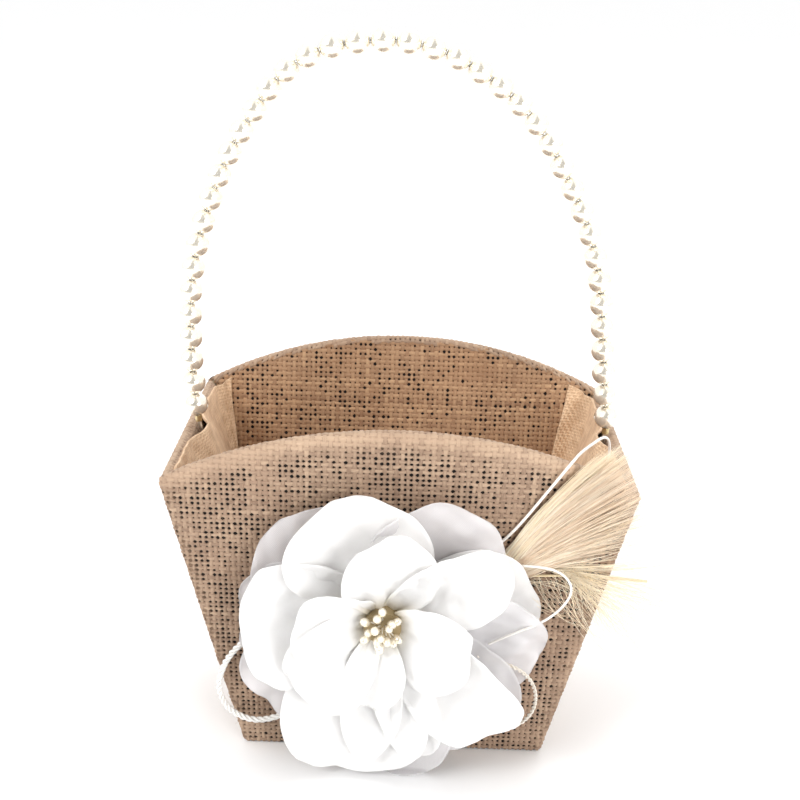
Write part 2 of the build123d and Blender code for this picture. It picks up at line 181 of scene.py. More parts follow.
def put_in_scene(name, mesh, body, finish):
    """An object at the origin that rides a body and takes its finish from a slot."""
    piece = bpy.data.objects.new(name, mesh)
    bpy.context.scene.collection.objects.link(piece)
    for material in finish:
        mesh.materials.append(material)
    for face in mesh.polygons:
        face.use_smooth = True
    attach(piece, body)
    return piece


def cloth_mesh(name, points, faces, flat=None, tone=None):
    """A mesh from points in millimetres, with flat cloth coordinates in metres as its UVs."""
    mesh = bpy.data.meshes.new(name)
    mesh.from_pydata((np.asarray(points, float) * MM).tolist(), [], faces.tolist())
    if flat is not None:
        corner = np.zeros(len(mesh.loops), int)
        mesh.loops.foreach_get("vertex_index", corner)
        layer = mesh.uv_layers.new(name="UVMap")
        layer.data.foreach_set("uv", (np.asarray(flat)[corner] * MM).astype(np.float32).ravel())
    if tone is not None:
        kept = mesh.attributes.new("tone", "FLOAT", "POINT")
        kept.data.foreach_set("value", np.asarray(tone, np.float32).ravel())
    mesh.validate()
    return mesh


def thicken(piece, thickness, offset=-1):
    """Gives a sheet a thickness in millimetres: under it at -1, on both sides at 0."""
    solid = piece.modifiers.new("thickness", "SOLIDIFY")
    solid.thickness = thickness * MM
    solid.offset = offset


def finish_nodes(finish, *nodes):
    """A finish for nodes whose shape in the frame is right and stays."""
    for node in nodes:
        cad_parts[node].data.materials.clear()
        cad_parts[node].data.materials.append(finish)


def drop_loose(mesh):
    """Removes points that no face uses."""
    shell = bmesh.new()
    shell.from_mesh(mesh)
    loose = [v for v in shell.verts if not v.link_faces]
    bmesh.ops.delete(shell, geom=loose, context="VERTS")
    shell.to_mesh(mesh)
    shell.free()


def smooth_noise(rng, length, step, strength):
    """A slowly wandering value: random knots, joined by a smooth curve."""
    knots = rng.normal(0, strength, int(length / step) + 3)
    at = np.linspace(0, len(knots) - 1.001, length)
    low = at.astype(int)
    share = at - low
    share = share * share * (3 - 2 * share)
    return knots[low] * (1 - share) + knots[low + 1] * share


print("one millimetre is", MM, "metres")

# %% [markdown]
# ## The cords
# Four cords hang on the flower: a thick twisted satin loop on the left, a fine string
# tied up to the handle, a fine loop on the right, and a small twisted loop under the
# petals. A cord is a fixed length of something limp, so each follows one smooth NURBS
# line. Its order is set after its points: set before, the line would be straight runs.
# The route is laid out in the same points as the hard model's tubes.

# %% Routes
LEFT_LOOP = [
    (-21.5, -41.1, 58.0), (-32.0, -41.0, 55.2), (-42.5, -40.7, 51.5), (-51.5, -40.1, 45.5),
    (-57.6, -39.1, 36.5), (-60.0, -37.9, 26.0), (-56.8, -36.7, 16.8), (-48.5, -36.0, 11.8),
    (-39.0, -36.2, 14.2), (-31.0, -36.6, 20.5), (-24.0, -37.2, 28.5), (-18.5, -38.2, 38.0),
    (-15.0, -39.5, 47.5)]
TIE_CORD = [
    (8.5, -43.4, 76.2), (21.0, -44.4, 82.6), (32.3, -45.0, 85.9), (49.9, -50.4, 115.4),
    (52.6, -51.3, 120.0), (55.8, -46.4, 121.4), (70.2, -14.8, 116.0), (69.8, -13.0, 104.0)]
FINE_LOOP = [
    (19.0, -45.7, 76.9), (30.0, -47.3, 80.7), (41.5, -48.6, 82.5), (51.5, -49.2, 81.4),
    (56.3, -49.9, 75.7), (53.5, -51.1, 69.5), (46.5, -52.3, 63.8), (38.0, -49.9, 58.6),
    (30.5, -47.6, 52.8)]
PETAL_LOOP = [
    (27.0, -48.0, 48.7), (36.0, -49.2, 47.0), (43.5, -48.6, 42.6), (47.5, -46.4, 34.3),
    (47.0, -44.8, 24.9), (41.0, -43.8, 18.0), (32.5, -43.8, 19.5), (24.5, -44.3, 26.0)]


def nurbs_line(name, route, thick=0.0):
    """One smooth open line with the route's points as its control points."""
    curve = bpy.data.curves.new(name, "CURVE")
    curve.dimensions = "3D"
    curve.resolution_u = 12
    spline = curve.splines.new("NURBS")
    spline.points.add(len(route) - 1)
    for knot, spot in zip(spline.points, route):
        knot.co = (spot[0] * MM, spot[1] * MM, spot[2] * MM, 1)
    spline.order_u = 3
    spline.use_endpoint_u = True
    curve.bevel_depth = thick / 2 * MM
    curve.bevel_resolution = 4
    curve.use_fill_caps = thick > 0
    line = bpy.data.objects.new(name, curve)
    bpy.context.scene.collection.objects.link(line)
    return line


def line_points(line):
    """Points along a curve that has no bevel, read back from Blender, in metres."""
    depsgraph = bpy.context.evaluated_depsgraph_get()
    wire = bpy.data.meshes.new_from_object(line.evaluated_get(depsgraph))
    spots = np.array([v.co for v in wire.vertices])
    bpy.data.meshes.remove(wire)
    return spots


# %% [markdown]
# A satin cord is a few soft plies twisted together. Each ply is a tube that winds round
# the route's middle line. To wind without a kink, a pair of side directions is carried
# along the line, each step turned only as much as the line turns.

# %% Twisted cords
def carried_frames(spots):
    """Direction of the line and two side directions at each of its points."""
    ahead = np.gradient(spots, axis=0)
    ahead /= np.linalg.norm(ahead, axis=1)[:, None]
    side = np.zeros_like(spots)
    side[0] = np.cross(ahead[0], (0.3, 0.2, 1.0))
    side[0] /= np.linalg.norm(side[0])
    for i in range(1, len(spots)):
        side[i] = side[i - 1] - ahead[i] * (side[i - 1] @ ahead[i])
        side[i] /= np.linalg.norm(side[i])
    return ahead, side, np.cross(ahead, side)


def even_points(spots, step):
    """The same line, with a point every step."""
    run = np.concatenate([[0], np.cumsum(np.linalg.norm(np.diff(spots, axis=0), axis=1))])
    at = np.linspace(0, run[-1], int(run[-1] / step) + 1)
    return np.stack([np.interp(at, run, spots[:, k]) for k in range(3)], axis=1), at


def twisted_cord(name, route, diameter, plies, lay, sides=10):
    """Plies wound round a NURBS line. Returns the mesh and the line that it follows."""
    line = nurbs_line(name + "_line", route)
    spots, at = even_points(line_points(line) / MM, lay / 16)
    bpy.data.objects.remove(line)
    ahead, side, over = carried_frames(spots)
    ply_radius = diameter / 2 / (1 + 1 / math.sin(math.pi / plies))
    around = np.linspace(0, 2 * math.pi, sides + 1)
    points, faces, flat = [], [], []
    for ply in range(plies):
        wind = 2 * math.pi * (at / lay + ply / plies)
        out = side * np.cos(wind)[:, None] + over * np.sin(wind)[:, None]
        middle = spots + out * (diameter / 2 - ply_radius)
        third = np.cross(ahead, out)
        ring = (out[:, None] * np.cos(around)[None, :, None]
                + third[:, None] * np.sin(around)[None, :, None])
        taper = np.ones(len(spots))
        taper[0] = taper[-1] = 0.35
        points.append((middle[:, None] + ring * (ply_radius * taper)[:, None, None]).reshape(-1, 3))
        faces.append(grid_faces(len(spots), sides + 1, ply * len(spots) * (sides + 1))[:, ::-1])
        flat.append(np.stack(np.broadcast_arrays(at[:, None], around * ply_radius), -1).reshape(-1, 2))
    mesh = cloth_mesh(name, np.concatenate(points), np.concatenate(faces), np.concatenate(flat))
    return mesh, spots * MM

# %% [markdown]
# ## Finishes: small tools for node trees
# A finish is a tree of nodes that ends in a shader. Writing trees in a script stays
# readable with three small helpers: one adds a node and wires its inputs by name, one
# does arithmetic, and one opens a reusable group with named inputs and outputs.

# %% Helpers for node trees
def rgb(red, green, blue):
    """A colour as picked on a screen, turned into the light values that shaders use."""
    line = [c / 255 for c in (red, green, blue)]
    return tuple(c / 12.92 if c < 0.04 else ((c + 0.055) / 1.055) ** 2.4 for c in line) + (1,)


def wire_up(tree, socket, value):
    if isinstance(value, bpy.types.NodeSocket):
        tree.links.new(value, socket)
    else:
        socket.default_value = value


def add(tree, kind, inputs=None, **settings):
    """A node of a kind, with its settings, and with its inputs set or wired by name."""
    made = tree.nodes.new(kind)
    for name, value in settings.items():
        setattr(made, name, value)
    for name, value in (inputs or {}).items():
        wire_up(tree, made.inputs[name], value)
    return made


def maths(tree, operation, first, second=0.0):
    made = add(tree, "ShaderNodeMath", {0: first, 1: second}, operation=operation)
    return made.outputs[0]


def ramp(tree, value, low, high, low_to=0.0, high_to=1.0):
    """Value from low to high becomes low_to to high_to, and stops there."""
    made = add(tree, "ShaderNodeMapRange", {
        "Value": value, "From Min": low, "From Max": high, "To Min": low_to, "To Max": high_to})
    return made.outputs["Result"]


def blend(tree, share, first, second):
    made = add(tree, "ShaderNodeMix", data_type="RGBA")
    wire_up(tree, made.inputs[0], share)
    wire_up(tree, made.inputs[6], first)
    wire_up(tree, made.inputs[7], second)
    return made.outputs[2]


def open_group(name, inputs, outputs):
    """A new node group with named inputs (kind and value) and outputs (kind)."""
    tree = bpy.data.node_groups.new(name, "ShaderNodeTree")
    for label, (kind, value) in inputs.items():
        socket = tree.interface.new_socket(label, in_out="INPUT", socket_type=kind)
        if value is not None:
            socket.default_value = value
    for label, kind in outputs.items():
        tree.interface.new_socket(label, in_out="OUTPUT", socket_type=kind)
    return tree, tree.nodes.new("NodeGroupInput").outputs, tree.nodes.new("NodeGroupOutput").inputs


def use_group(tree, group, inputs):
    return add(tree, "ShaderNodeGroup", inputs, node_tree=group).outputs


def new_finish(name, roughness=0.8, **constants):
    """A material with its Principled shader. Constants are set on the shader's own sockets."""
    finish = bpy.data.materials.new(name)
    finish.use_nodes = True
    shader = finish.node_tree.nodes["Principled BSDF"]
    shader.inputs["Roughness"].default_value = roughness
    for socket, value in constants.items():
        shader.inputs[socket.replace("_", " ")].default_value = value
    return finish, finish.node_tree, shader.inputs


def bump(tree, inputs, height, depth, strength=1.0):
    """Sends a height to the shader's Normal, as a bump of a depth in metres."""
    made = add(tree, "ShaderNodeBump", {"Height": height, "Distance": depth, "Strength": strength})
    tree.links.new(made.outputs["Normal"], inputs["Normal"])


FLOAT, COLOUR, VECTOR = "NodeSocketFloat", "NodeSocketColor", "NodeSocketVector"

# %% [markdown]
# ### Effects that several finishes share
# *Fibre* is the hairy grain of spun yarn: noise stretched along the thread. *Blotch* is
# the slow change of colour over a cloth, from dye, sun and handling. *Plain weave* is
# threads that go over and under each other, in squares, and it also says where the small
# holes are. Each is one group, used again with other sizes.

# %% Shared groups
fibre_group, given, result = open_group(
    "fibre_grain",
    {"Vector": (VECTOR, None), "Along": (FLOAT, 300.0), "Across": (FLOAT, 4000.0)},
    {"Mask": FLOAT, "Height": FLOAT})
stretched = add(fibre_group, "ShaderNodeCombineXYZ", {"X": given["Along"], "Y": given["Across"],
                                                      "Z": given["Across"]})
scaled = add(fibre_group, "ShaderNodeVectorMath", {0: given["Vector"], 1: stretched.outputs[0]},
             operation="MULTIPLY")
grain = add(fibre_group, "ShaderNodeTexNoise", {"Vector": scaled.outputs[0], "Scale": 1.0,
                                                "Detail": 3.0, "Roughness": 0.65})
fibre_group.links.new(ramp(fibre_group, grain.outputs["Fac"], 0.35, 0.65), result["Mask"])
fibre_group.links.new(grain.outputs["Fac"], result["Height"])

blotch_group, given, result = open_group(
    "blotch",
    {"Vector": (VECTOR, None), "Size": (FLOAT, 0.02), "Colour": (COLOUR, (1, 1, 1, 1)),
     "Second Colour": (COLOUR, (0, 0, 0, 1)), "Amount": (FLOAT, 0.5)},
    {"Colour": COLOUR, "Mask": FLOAT})
patches = add(blotch_group, "ShaderNodeTexNoise", {
    "Vector": given["Vector"], "Scale": maths(blotch_group, "DIVIDE", 1.0, given["Size"]),
    "Detail": 4.0, "Roughness": 0.6})
patch = ramp(blotch_group, patches.outputs["Fac"], 0.3, 0.7)
share = maths(blotch_group, "MULTIPLY", patch, given["Amount"])
blotch_group.links.new(blend(blotch_group, share, given["Colour"], given["Second Colour"]),
                       result["Colour"])
blotch_group.links.new(patch, result["Mask"])

weave_group, given, result = open_group(
    "plain_weave",
    {"Vector": (VECTOR, None), "Pitch": (FLOAT, 0.0005), "Waver": (FLOAT, 0.25)},
    {"Height": FLOAT, "Hole": FLOAT})
sway = add(weave_group, "ShaderNodeTexNoise", {
    "Vector": given["Vector"], "Detail": 1.0,
    "Scale": maths(weave_group, "DIVIDE", 0.2, given["Pitch"])})
thread_units = add(weave_group, "ShaderNodeVectorMath", {
    0: given["Vector"], "Scale": maths(weave_group, "DIVIDE", 1.0, given["Pitch"])},
    operation="SCALE")
swayed = add(weave_group, "ShaderNodeVectorMath", {
    0: thread_units.outputs[0], 1: add(weave_group, "ShaderNodeVectorMath", {
        0: sway.outputs["Color"], "Scale": given["Waver"]}, operation="SCALE").outputs[0]},
    operation="ADD")
split = add(weave_group, "ShaderNodeSeparateXYZ", {0: swayed.outputs[0]})
across, along = split.outputs[0], split.outputs[1]
warp = maths(weave_group, "ABSOLUTE", maths(
    weave_group, "SINE", maths(weave_group, "MULTIPLY", across, math.pi)))
weft = maths(weave_group, "ABSOLUTE", maths(
    weave_group, "SINE", maths(weave_group, "MULTIPLY", along, math.pi)))
checker = maths(weave_group, "FLOORED_MODULO", maths(
    weave_group, "ADD", maths(weave_group, "FLOOR", across),
    maths(weave_group, "FLOOR", along)), 2.0)
over = add(weave_group, "ShaderNodeMix", data_type="FLOAT")
wire_up(weave_group, over.inputs[0], checker)
wire_up(weave_group, over.inputs[2], warp)
wire_up(weave_group, over.inputs[3], weft)
weave_group.links.new(over.outputs[0], result["Height"])
hole = ramp(weave_group, maths(weave_group, "MAXIMUM", warp, weft), 0.3, 0.6, 1.0, 0.0)
weave_group.links.new(hole, result["Hole"])
print("shader groups:", [g.name for g in bpy.data.node_groups])

# %% [markdown]
# ### Burlap
# Burlap is spun from jute. Each thread has its own brown, and thick and thin places. The
# woven pieces carry a number for that, called tone, so one finish colours every thread.
# The tone also holds painted shade along each thread's edges and a painted highlight
# along the rolled rim. Between the threads the glued card is in deep shade, nearly black:
# that shade is painted on a dark ground cloth. The inside burlap is the same jute with
# its own warmer colours, painted for the light inside the basket.

# %% Burlap finishes
def burlap_finish(name, dark, middle, light):
    finish, tree, inputs = new_finish(name, 0.86, Sheen_Weight=0.08, Sheen_Roughness=0.6)
    flat = add(tree, "ShaderNodeTexCoord").outputs["UV"]
    place = add(tree, "ShaderNodeTexCoord").outputs["Object"]
    tone = add(tree, "ShaderNodeAttribute", attribute_name="tone").outputs["Fac"]
    fibre = use_group(tree, fibre_group, {"Vector": flat, "Along": 500.0, "Across": 5200.0})
    # tone: each thread's own brown, with painted shade at its edges and a painted highlight on the rim
    by_thread = blend(tree, tone, dark, light)
    body = blend(tree, 0.3, by_thread, middle)
    hairy = blend(tree, maths(tree, "MULTIPLY", fibre["Mask"], 0.38), body, light)
    blotched = use_group(tree, blotch_group, {
        "Vector": place, "Size": 0.03, "Colour": hairy, "Second Colour": middle, "Amount": 0.5})
    wire_up(tree, inputs["Base Color"], blotched["Colour"])
    wire_up(tree, inputs["Roughness"], ramp(tree, fibre["Mask"], 0.0, 1.0, 0.92, 0.74))
    bump(tree, inputs, fibre["Height"], 0.00025, 0.7)
    return finish


burlap_thread = burlap_finish("burlap_thread", rgb(80, 55, 40), rgb(144, 114, 92),
                              rgb(211, 183, 155))
# Painted light: the inside burlap is the same jute as outside, given its own warmer colours for the
# light inside the basket.
burlap_inside_light_copy = burlap_finish("burlap_inside_light_copy", rgb(88, 52, 36), rgb(160, 120, 86),
                              rgb(216, 180, 142))

# Painted shade: the ground cloth is near-black where it shows in the holes, and tan near the rim and
# the upright edges, where less shade is painted.
burlap_hole_shade, tree, inputs = new_finish("burlap_hole_shade", 0.95)
place = add(tree, "ShaderNodeTexCoord").outputs["Object"]
ground = use_group(tree, blotch_group, {
    "Vector": place, "Size": 0.004, "Colour": rgb(8, 5, 4), "Second Colour": rgb(26, 16, 11),
    "Amount": 0.6})
less_shade_near_edges = add(tree, "ShaderNodeAttribute", attribute_name="tone").outputs["Fac"]
wire_up(tree, inputs["Base Color"], blend(tree, less_shade_near_edges, ground["Colour"], rgb(176, 146, 120)))
bump(tree, inputs, ground["Mask"], 0.0002)


def soft_cloth(name, first, second, pitch, sheen=0.1, depth=0.00012, patch=0.012):
    """A finely woven cloth whose weave follows its own flat coordinates."""
    finish, tree, inputs = new_finish(name, 0.85, Sheen_Weight=sheen)
    flat = add(tree, "ShaderNodeTexCoord").outputs["UV"]
    weave = use_group(tree, weave_group, {"Vector": flat, "Pitch": pitch, "Waver": 0.6})
    blotched = use_group(tree, blotch_group, {
        "Vector": flat, "Size": patch, "Colour": first, "Second Colour": second, "Amount": 0.7})
    # Painted shade: the holes between the threads are darkened towards the second colour.
    shaded = blend(tree, maths(tree, "MULTIPLY", weave["Hole"], 0.6), blotched["Colour"], second)
    wire_up(tree, inputs["Base Color"], shaded)
    wire_up(tree, inputs["Roughness"], ramp(tree, weave["Height"], 0.0, 1.0, 0.95, 0.72))
    bump(tree, inputs, weave["Height"], depth, 0.8)
    return finish


side_lining_cloth = soft_cloth("side_lining_cloth", rgb(246, 214, 178), rgb(184, 142, 104),
                               0.0011, depth=0.0003, patch=0.006)
card_finish = soft_cloth("card_board", rgb(196, 176, 146), rgb(160, 138, 108), 0.0004)
felt_finish = soft_cloth("felt", rgb(240, 236, 228), rgb(206, 200, 188), 0.0006)
# Painted shade: the stem's dark gold-brown stands for the shade between the stamens.
stem_shade_finish = soft_cloth("wound_stem_painted_shade", rgb(176, 156, 116), rgb(104, 86, 56), 0.0005)
binding_finish = soft_cloth("binding_tape", rgb(226, 208, 178), rgb(190, 166, 130), 0.0005)

# %% [markdown]
# ### Pearls, wire and metal
# An imitation pearl is a bead under a pale, see-through coat. Most of its look is the
# clear sharp highlight over a soft body, so it gets a coat. A faint change from ivory to
# grey-gold keeps each one alive.

# %% Pearl and metal finishes
def pearl_finish(name, body, second, size):
    finish, tree, inputs = new_finish(
        name, 0.2, Coat_Weight=1.0, Coat_Roughness=0.05, Metallic=0.62,
        Specular_IOR_Level=0.8)
    place = add(tree, "ShaderNodeTexCoord").outputs["Object"]
    edge = add(tree, "ShaderNodeLayerWeight", {"Blend": 0.35}).outputs["Facing"]
    swirl = use_group(tree, blotch_group, {
        "Vector": place, "Size": size, "Colour": body, "Second Colour": second, "Amount": 0.45})
    # Painted shade: the colour turns to the grey-gold second colour towards each pearl's rim, as the
    # camera sees it.
    shaded = blend(tree, ramp(tree, edge, 0.25, 1.0, 0.0, 0.6), swirl["Colour"], second)
    wire_up(tree, inputs["Base Color"], shaded)
    wire_up(tree, inputs["Roughness"], ramp(tree, swirl["Mask"], 0.0, 1.0, 0.14, 0.24))
    return finish


def metal_finish(name, colour, worn):
    finish, tree, inputs = new_finish(name, 0.3, Metallic=1.0)
    place = add(tree, "ShaderNodeTexCoord").outputs["Object"]
    rubbed = use_group(tree, blotch_group, {
        "Vector": place, "Size": 0.002, "Colour": colour, "Second Colour": worn, "Amount": 0.6})
    fine = add(tree, "ShaderNodeTexNoise", {"Vector": place, "Scale": 2500.0, "Detail": 2.0})
    wire_up(tree, inputs["Base Color"], rubbed["Colour"])
    wire_up(tree, inputs["Roughness"], ramp(tree, rubbed["Mask"], 0.0, 1.0, 0.22, 0.42))
    bump(tree, inputs, fine.outputs["Fac"], 0.00003, 0.5)
    return finish


pearl = pearl_finish("ivory_pearl", rgb(248, 242, 229), rgb(233, 221, 196), 0.004)
stamen_pearl = pearl_finish("stamen_bead_pearl", rgb(250, 244, 230), rgb(222, 206, 176), 0.002)
steel = metal_finish("spring_wire", rgb(232, 230, 224), rgb(200, 196, 188))
brass = metal_finish("pale_brass", rgb(222, 204, 160), rgb(176, 152, 104))

# %% [markdown]
# ### Sheer cloth, satin and feather
# Chiffon and organza are seen partly through. Real holes would be thousands, so the cloth
# is let through in part with Alpha, a little more between its threads, and more still
# where one layer lies alone. Satin and feather shine along their length.

# %% Petal, cord and feather finishes
def sheer_cloth(name, colour, shade, solid, thin, pitch, subsurface):
    """Sheer cloth: solid and thin are how much it covers, at its threads and between."""
    finish, tree, inputs = new_finish(
        name, 0.55, Sheen_Weight=0.15, Sheen_Roughness=0.4, Subsurface_Weight=subsurface,
        Subsurface_Scale=0.003, Subsurface_Radius=(1.0, 0.97, 0.92))
    flat = add(tree, "ShaderNodeTexCoord").outputs["UV"]
    weave = use_group(tree, weave_group, {"Vector": flat, "Pitch": pitch, "Waver": 0.4})
    tone = add(tree, "ShaderNodeAttribute", attribute_name="tone").outputs["Fac"]
    blotched = use_group(tree, blotch_group, {
        "Vector": flat, "Size": 0.009, "Colour": colour, "Second Colour": shade, "Amount": 0.35})
    # Painted shadow: near the root, where tone is high, the petal is tinted gold-brown for the shade
    # round the stamens.
    root_shadow_tinted = blend(tree, maths(tree, "MULTIPLY", maths(tree, "MULTIPLY", tone, tone), 0.8),
                   blotched["Colour"], rgb(206, 190, 148))
    wire_up(tree, inputs["Base Color"], root_shadow_tinted)
    cover = ramp(tree, weave["Hole"], 0.0, 1.0, solid, thin)
    wire_up(tree, inputs["Alpha"], maths(tree, "MINIMUM", maths(
        tree, "ADD", cover, maths(tree, "MULTIPLY", tone, 0.25)), 1.0))
    wire_up(tree, inputs["Roughness"], ramp(tree, weave["Height"], 0.0, 1.0, 0.62, 0.45))
    bump(tree, inputs, weave["Height"], 0.00005, 0.4)
    return finish


chiffon = sheer_cloth("chiffon", rgb(243, 242, 241), rgb(231, 228, 224), 1.0, 0.94, 0.0004, 0.3)
organza = sheer_cloth("organza", rgb(247, 245, 246), rgb(234, 230, 233), 0.56, 0.40, 0.00045, 0.0)


def satin_finish(name, light, shade, roughness):
    finish, tree, inputs = new_finish(name, roughness, Sheen_Weight=0.2, Anisotropic=0.5)
    flat = add(tree, "ShaderNodeTexCoord").outputs["Object"]
    fibre = use_group(tree, fibre_group, {"Vector": flat, "Along": 900.0, "Across": 3500.0})
    wire_up(tree, inputs["Base Color"], blend(tree, fibre["Mask"], shade, light))
    wire_up(tree, inputs["Roughness"], ramp(tree, fibre["Mask"], 0.0, 1.0, roughness + 0.15,
                                            roughness))
    bump(tree, inputs, fibre["Height"], 0.00008, 0.6)
    return finish


satin = satin_finish("satin_cord", rgb(252, 251, 248), rgb(226, 222, 216), 0.35)
speckled_cord = satin_finish("speckled_cord", rgb(250, 246, 238), rgb(196, 182, 164), 0.5)
fine_string = satin_finish("fine_string", rgb(252, 250, 246), rgb(230, 224, 216), 0.5)
white_wire = satin_finish("stamen_thread", rgb(244, 240, 230), rgb(220, 212, 196), 0.6)


def feather_finish(name, light, deep):
    finish, tree, inputs = new_finish(name, 0.5, Sheen_Weight=0.25, Subsurface_Weight=0.15,
                                      Subsurface_Scale=0.001, Subsurface_Radius=(1.0, 0.95, 0.85))
    tone = add(tree, "ShaderNodeAttribute", attribute_name="tone").outputs["Fac"]
    place = add(tree, "ShaderNodeTexCoord").outputs["Object"]
    streak = use_group(tree, fibre_group, {"Vector": place, "Along": 900.0, "Across": 900.0})
    by_barb = blend(tree, tone, deep, light)
    wire_up(tree, inputs["Base Color"], blend(
        tree, maths(tree, "MULTIPLY", streak["Mask"], 0.3), by_barb, light))
    wire_up(tree, inputs["Roughness"], ramp(tree, tone, 0.0, 1.0, 0.6, 0.42))
    bump(tree, inputs, streak["Height"], 0.00005, 0.5)
    return finish


feather_straw = feather_finish("feather_straw", rgb(252, 238, 216), rgb(230, 200, 168))
feather_white = feather_finish("feather_white", rgb(255, 244, 220), rgb(250, 228, 190))
quill_finish = feather_finish("quill", rgb(244, 234, 210), rgb(214, 192, 152))
print("finishes:", len(bpy.data.materials))


def string_cord(name, route, diameter, node, finish):
    """A thin cord: the NURBS line itself, given its thickness."""
    spots = line_points(nurbs_line(name + "_line", route))
    bpy.data.objects.remove(bpy.data.objects[name + "_line"])
    line = nurbs_line(name, route, diameter)
    line.data.materials.append(finish)
    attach(line, "basket")
    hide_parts(node)


def ply_cord(name, route, diameter, plies, lay, node, finish):
    mesh, path = twisted_cord(name, route, diameter, plies, lay)
    piece = put_in_scene(name, mesh, "basket", [finish])
    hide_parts(node)


ply_cord("satin_loop", LEFT_LOOP, 2.2, 3, 7.0, "left_loop_cord", satin)
ply_cord("petal_loop", PETAL_LOOP, 1.4, 2, 3.6, "petal_loop_cord", speckled_cord)
string_cord("tie_string", TIE_CORD, 0.9, "handle_tie_cord", fine_string)
string_cord("fine_loop", FINE_LOOP, 0.8, "fine_loop_cord", fine_string)

# %% [markdown]
# ## The walls
# The basket is a box that widens upwards: the side walls lean out by about 12 degrees and
# the front and back by 8.5. The front and back also rise to a shallow arch. Everything on
# a wall is laid out flat, as cloth is: *s* runs across, *t* runs up the slope, and *d*
# stands out from the surface. A placing function then turns flat numbers into places.

# %% Sizes of the body
BOTTOM_HALF_WIDTH, SIDE_SLOPE = 52.0, 23.0 / 107.0
BOTTOM_HALF_DEPTH, FACE_SLOPE = 31.0, 16.0 / 107.0
CORNER_HEIGHT = 107.0
ARCH_RISE = 19.0
TOP_HALF_WIDTH = BOTTOM_HALF_WIDTH + SIDE_SLOPE * CORNER_HEIGHT
ARCH_R = (TOP_HALF_WIDTH ** 2 + ARCH_RISE ** 2) / (2 * ARCH_RISE)
WALL_T = 3.3          # burlap, card and turned-down burlap
FACE_HEM = 0.4        # burlap turned down inside the front and back walls
SIDE_HEM = 9.0        # and inside the side walls, behind their linings
ROLL = WALL_T / 2     # radius of the rim that the burlap is rolled over
CORNER_R = 0.9        # radius of a wall's upright edges
SIDE_INSET = 1.4      # the side walls stand this far inside the front and back ones
INSIDE_CLEAR = 0.6    # cloth turned over the rim stays this far off the next wall
LINING_DEPTH = 3.1    # from a wall's outside to its burlap lining
LINING_INSET = 3.6    # how far that lining stops short of the wall's own edges
LINING_DROP = 0.9     # and short of its top
WRAP = 2.4            # how far the front and back burlap reaches round those edges
FLOOR_TOP = 3.7


class Wall:
    """A leaning wall: its foot, its directions, how wide it is and where its top is."""

    def __init__(self, foot, outward, slope, half_foot, widening, arched, wrap):
        lean = math.atan(slope)
        out = np.array(outward, float)
        self.foot = np.array(foot, float)
        self.normal = out * math.cos(lean) - np.array((0, 0, math.sin(lean)))
        self.rise = out * math.sin(lean) + np.array((0, 0, math.cos(lean)))
        self.across = np.cross(self.rise, self.normal)
        self.cos, self.half_foot, self.widening = math.cos(lean), half_foot, widening
        self.arched, self.wrap = arched, wrap
        self.hem = FACE_HEM if arched else SIDE_HEM

    def half(self, t):
        """Half the wall's width, t up the slope."""
        return self.half_foot + self.widening * np.asarray(t) * self.cos

    def top(self, s):
        """How far up the slope the rim is, s across."""
        if not self.arched:
            return np.full(np.shape(s), CORNER_HEIGHT / self.cos)
        reach = np.clip(np.abs(s), 0, TOP_HALF_WIDTH)
        height = CORNER_HEIGHT + ARCH_RISE - ARCH_R + np.sqrt(ARCH_R ** 2 - reach ** 2)
        return height / self.cos

    def limit(self, s, t):
        """Furthest that cloth reaches sideways: round the edge outside, and less inside."""
        over = t - (self.top(s) - ROLL)
        down = np.maximum(over - math.pi * ROLL, 0)
        level = np.where(over > 0, self.top(s) - ROLL - down, t)
        inside = np.clip(over / (math.pi * ROLL), 0, 1)
        return self.half(level) + self.wrap * (1 - inside) - (WALL_T + INSIDE_CLEAR) * inside

    def last(self, s):
        """Length of cloth from the foot, over the rim, to the hem's raw edge."""
        return self.top(s) - ROLL + math.pi * ROLL + self.hem

    def place(self, s, t, d):
        """Flat cloth numbers to a place, round the upright edges and over the rim."""
        edge = self.half(np.minimum(t, self.top(s))) - CORNER_R
        over = np.abs(s) - edge if self.wrap > 0 else np.full(np.shape(s), -1.0)
        bend = np.clip(over / CORNER_R, 0, math.pi / 2)
        past = np.maximum(over - CORNER_R * math.pi / 2, 0)
        sideways = np.where(over > 0, np.sign(s) * (edge + (CORNER_R + d) * np.sin(bend)), s)
        out = np.where(over > 0, (CORNER_R + d) * np.cos(bend) - CORNER_R - past, d)
        beyond = t - (self.top(sideways) - ROLL)
        round_rim = np.clip(beyond / ROLL, 0, math.pi)
        down = np.maximum(beyond - math.pi * ROLL, 0)
        radius = np.maximum(ROLL + out, 0.1)
        up = np.where(beyond > 0, t - beyond + radius * np.sin(round_rim) - down, t)
        out = np.where(beyond > 0, radius * np.cos(round_rim) - ROLL, out)
        return (self.foot + sideways[..., None] * self.across + up[..., None] * self.rise
                + out[..., None] * self.normal)


class InnerWall(Wall):
    """The inside of a wall: it faces the other way and stops under the rim."""

    def __init__(self, wall, depth, side_gap):
        self.foot = wall.foot - wall.normal * depth
        self.normal, self.rise, self.across = -wall.normal, wall.rise, -wall.across
        self.cos, self.half_foot, self.widening = wall.cos, wall.half_foot, wall.widening
        self.arched, self.wrap, self.side_gap = wall.arched, 0.0, side_gap

    def limit(self, s, t):
        return self.half(t) - self.side_gap

    def last(self, s):
        return self.top(s) - LINING_DROP

    def place(self, s, t, d):
        s, t, d = np.broadcast_arrays(s, t, d)
        return (self.foot + s[..., None] * self.across + t[..., None] * self.rise
                + d[..., None] * self.normal)


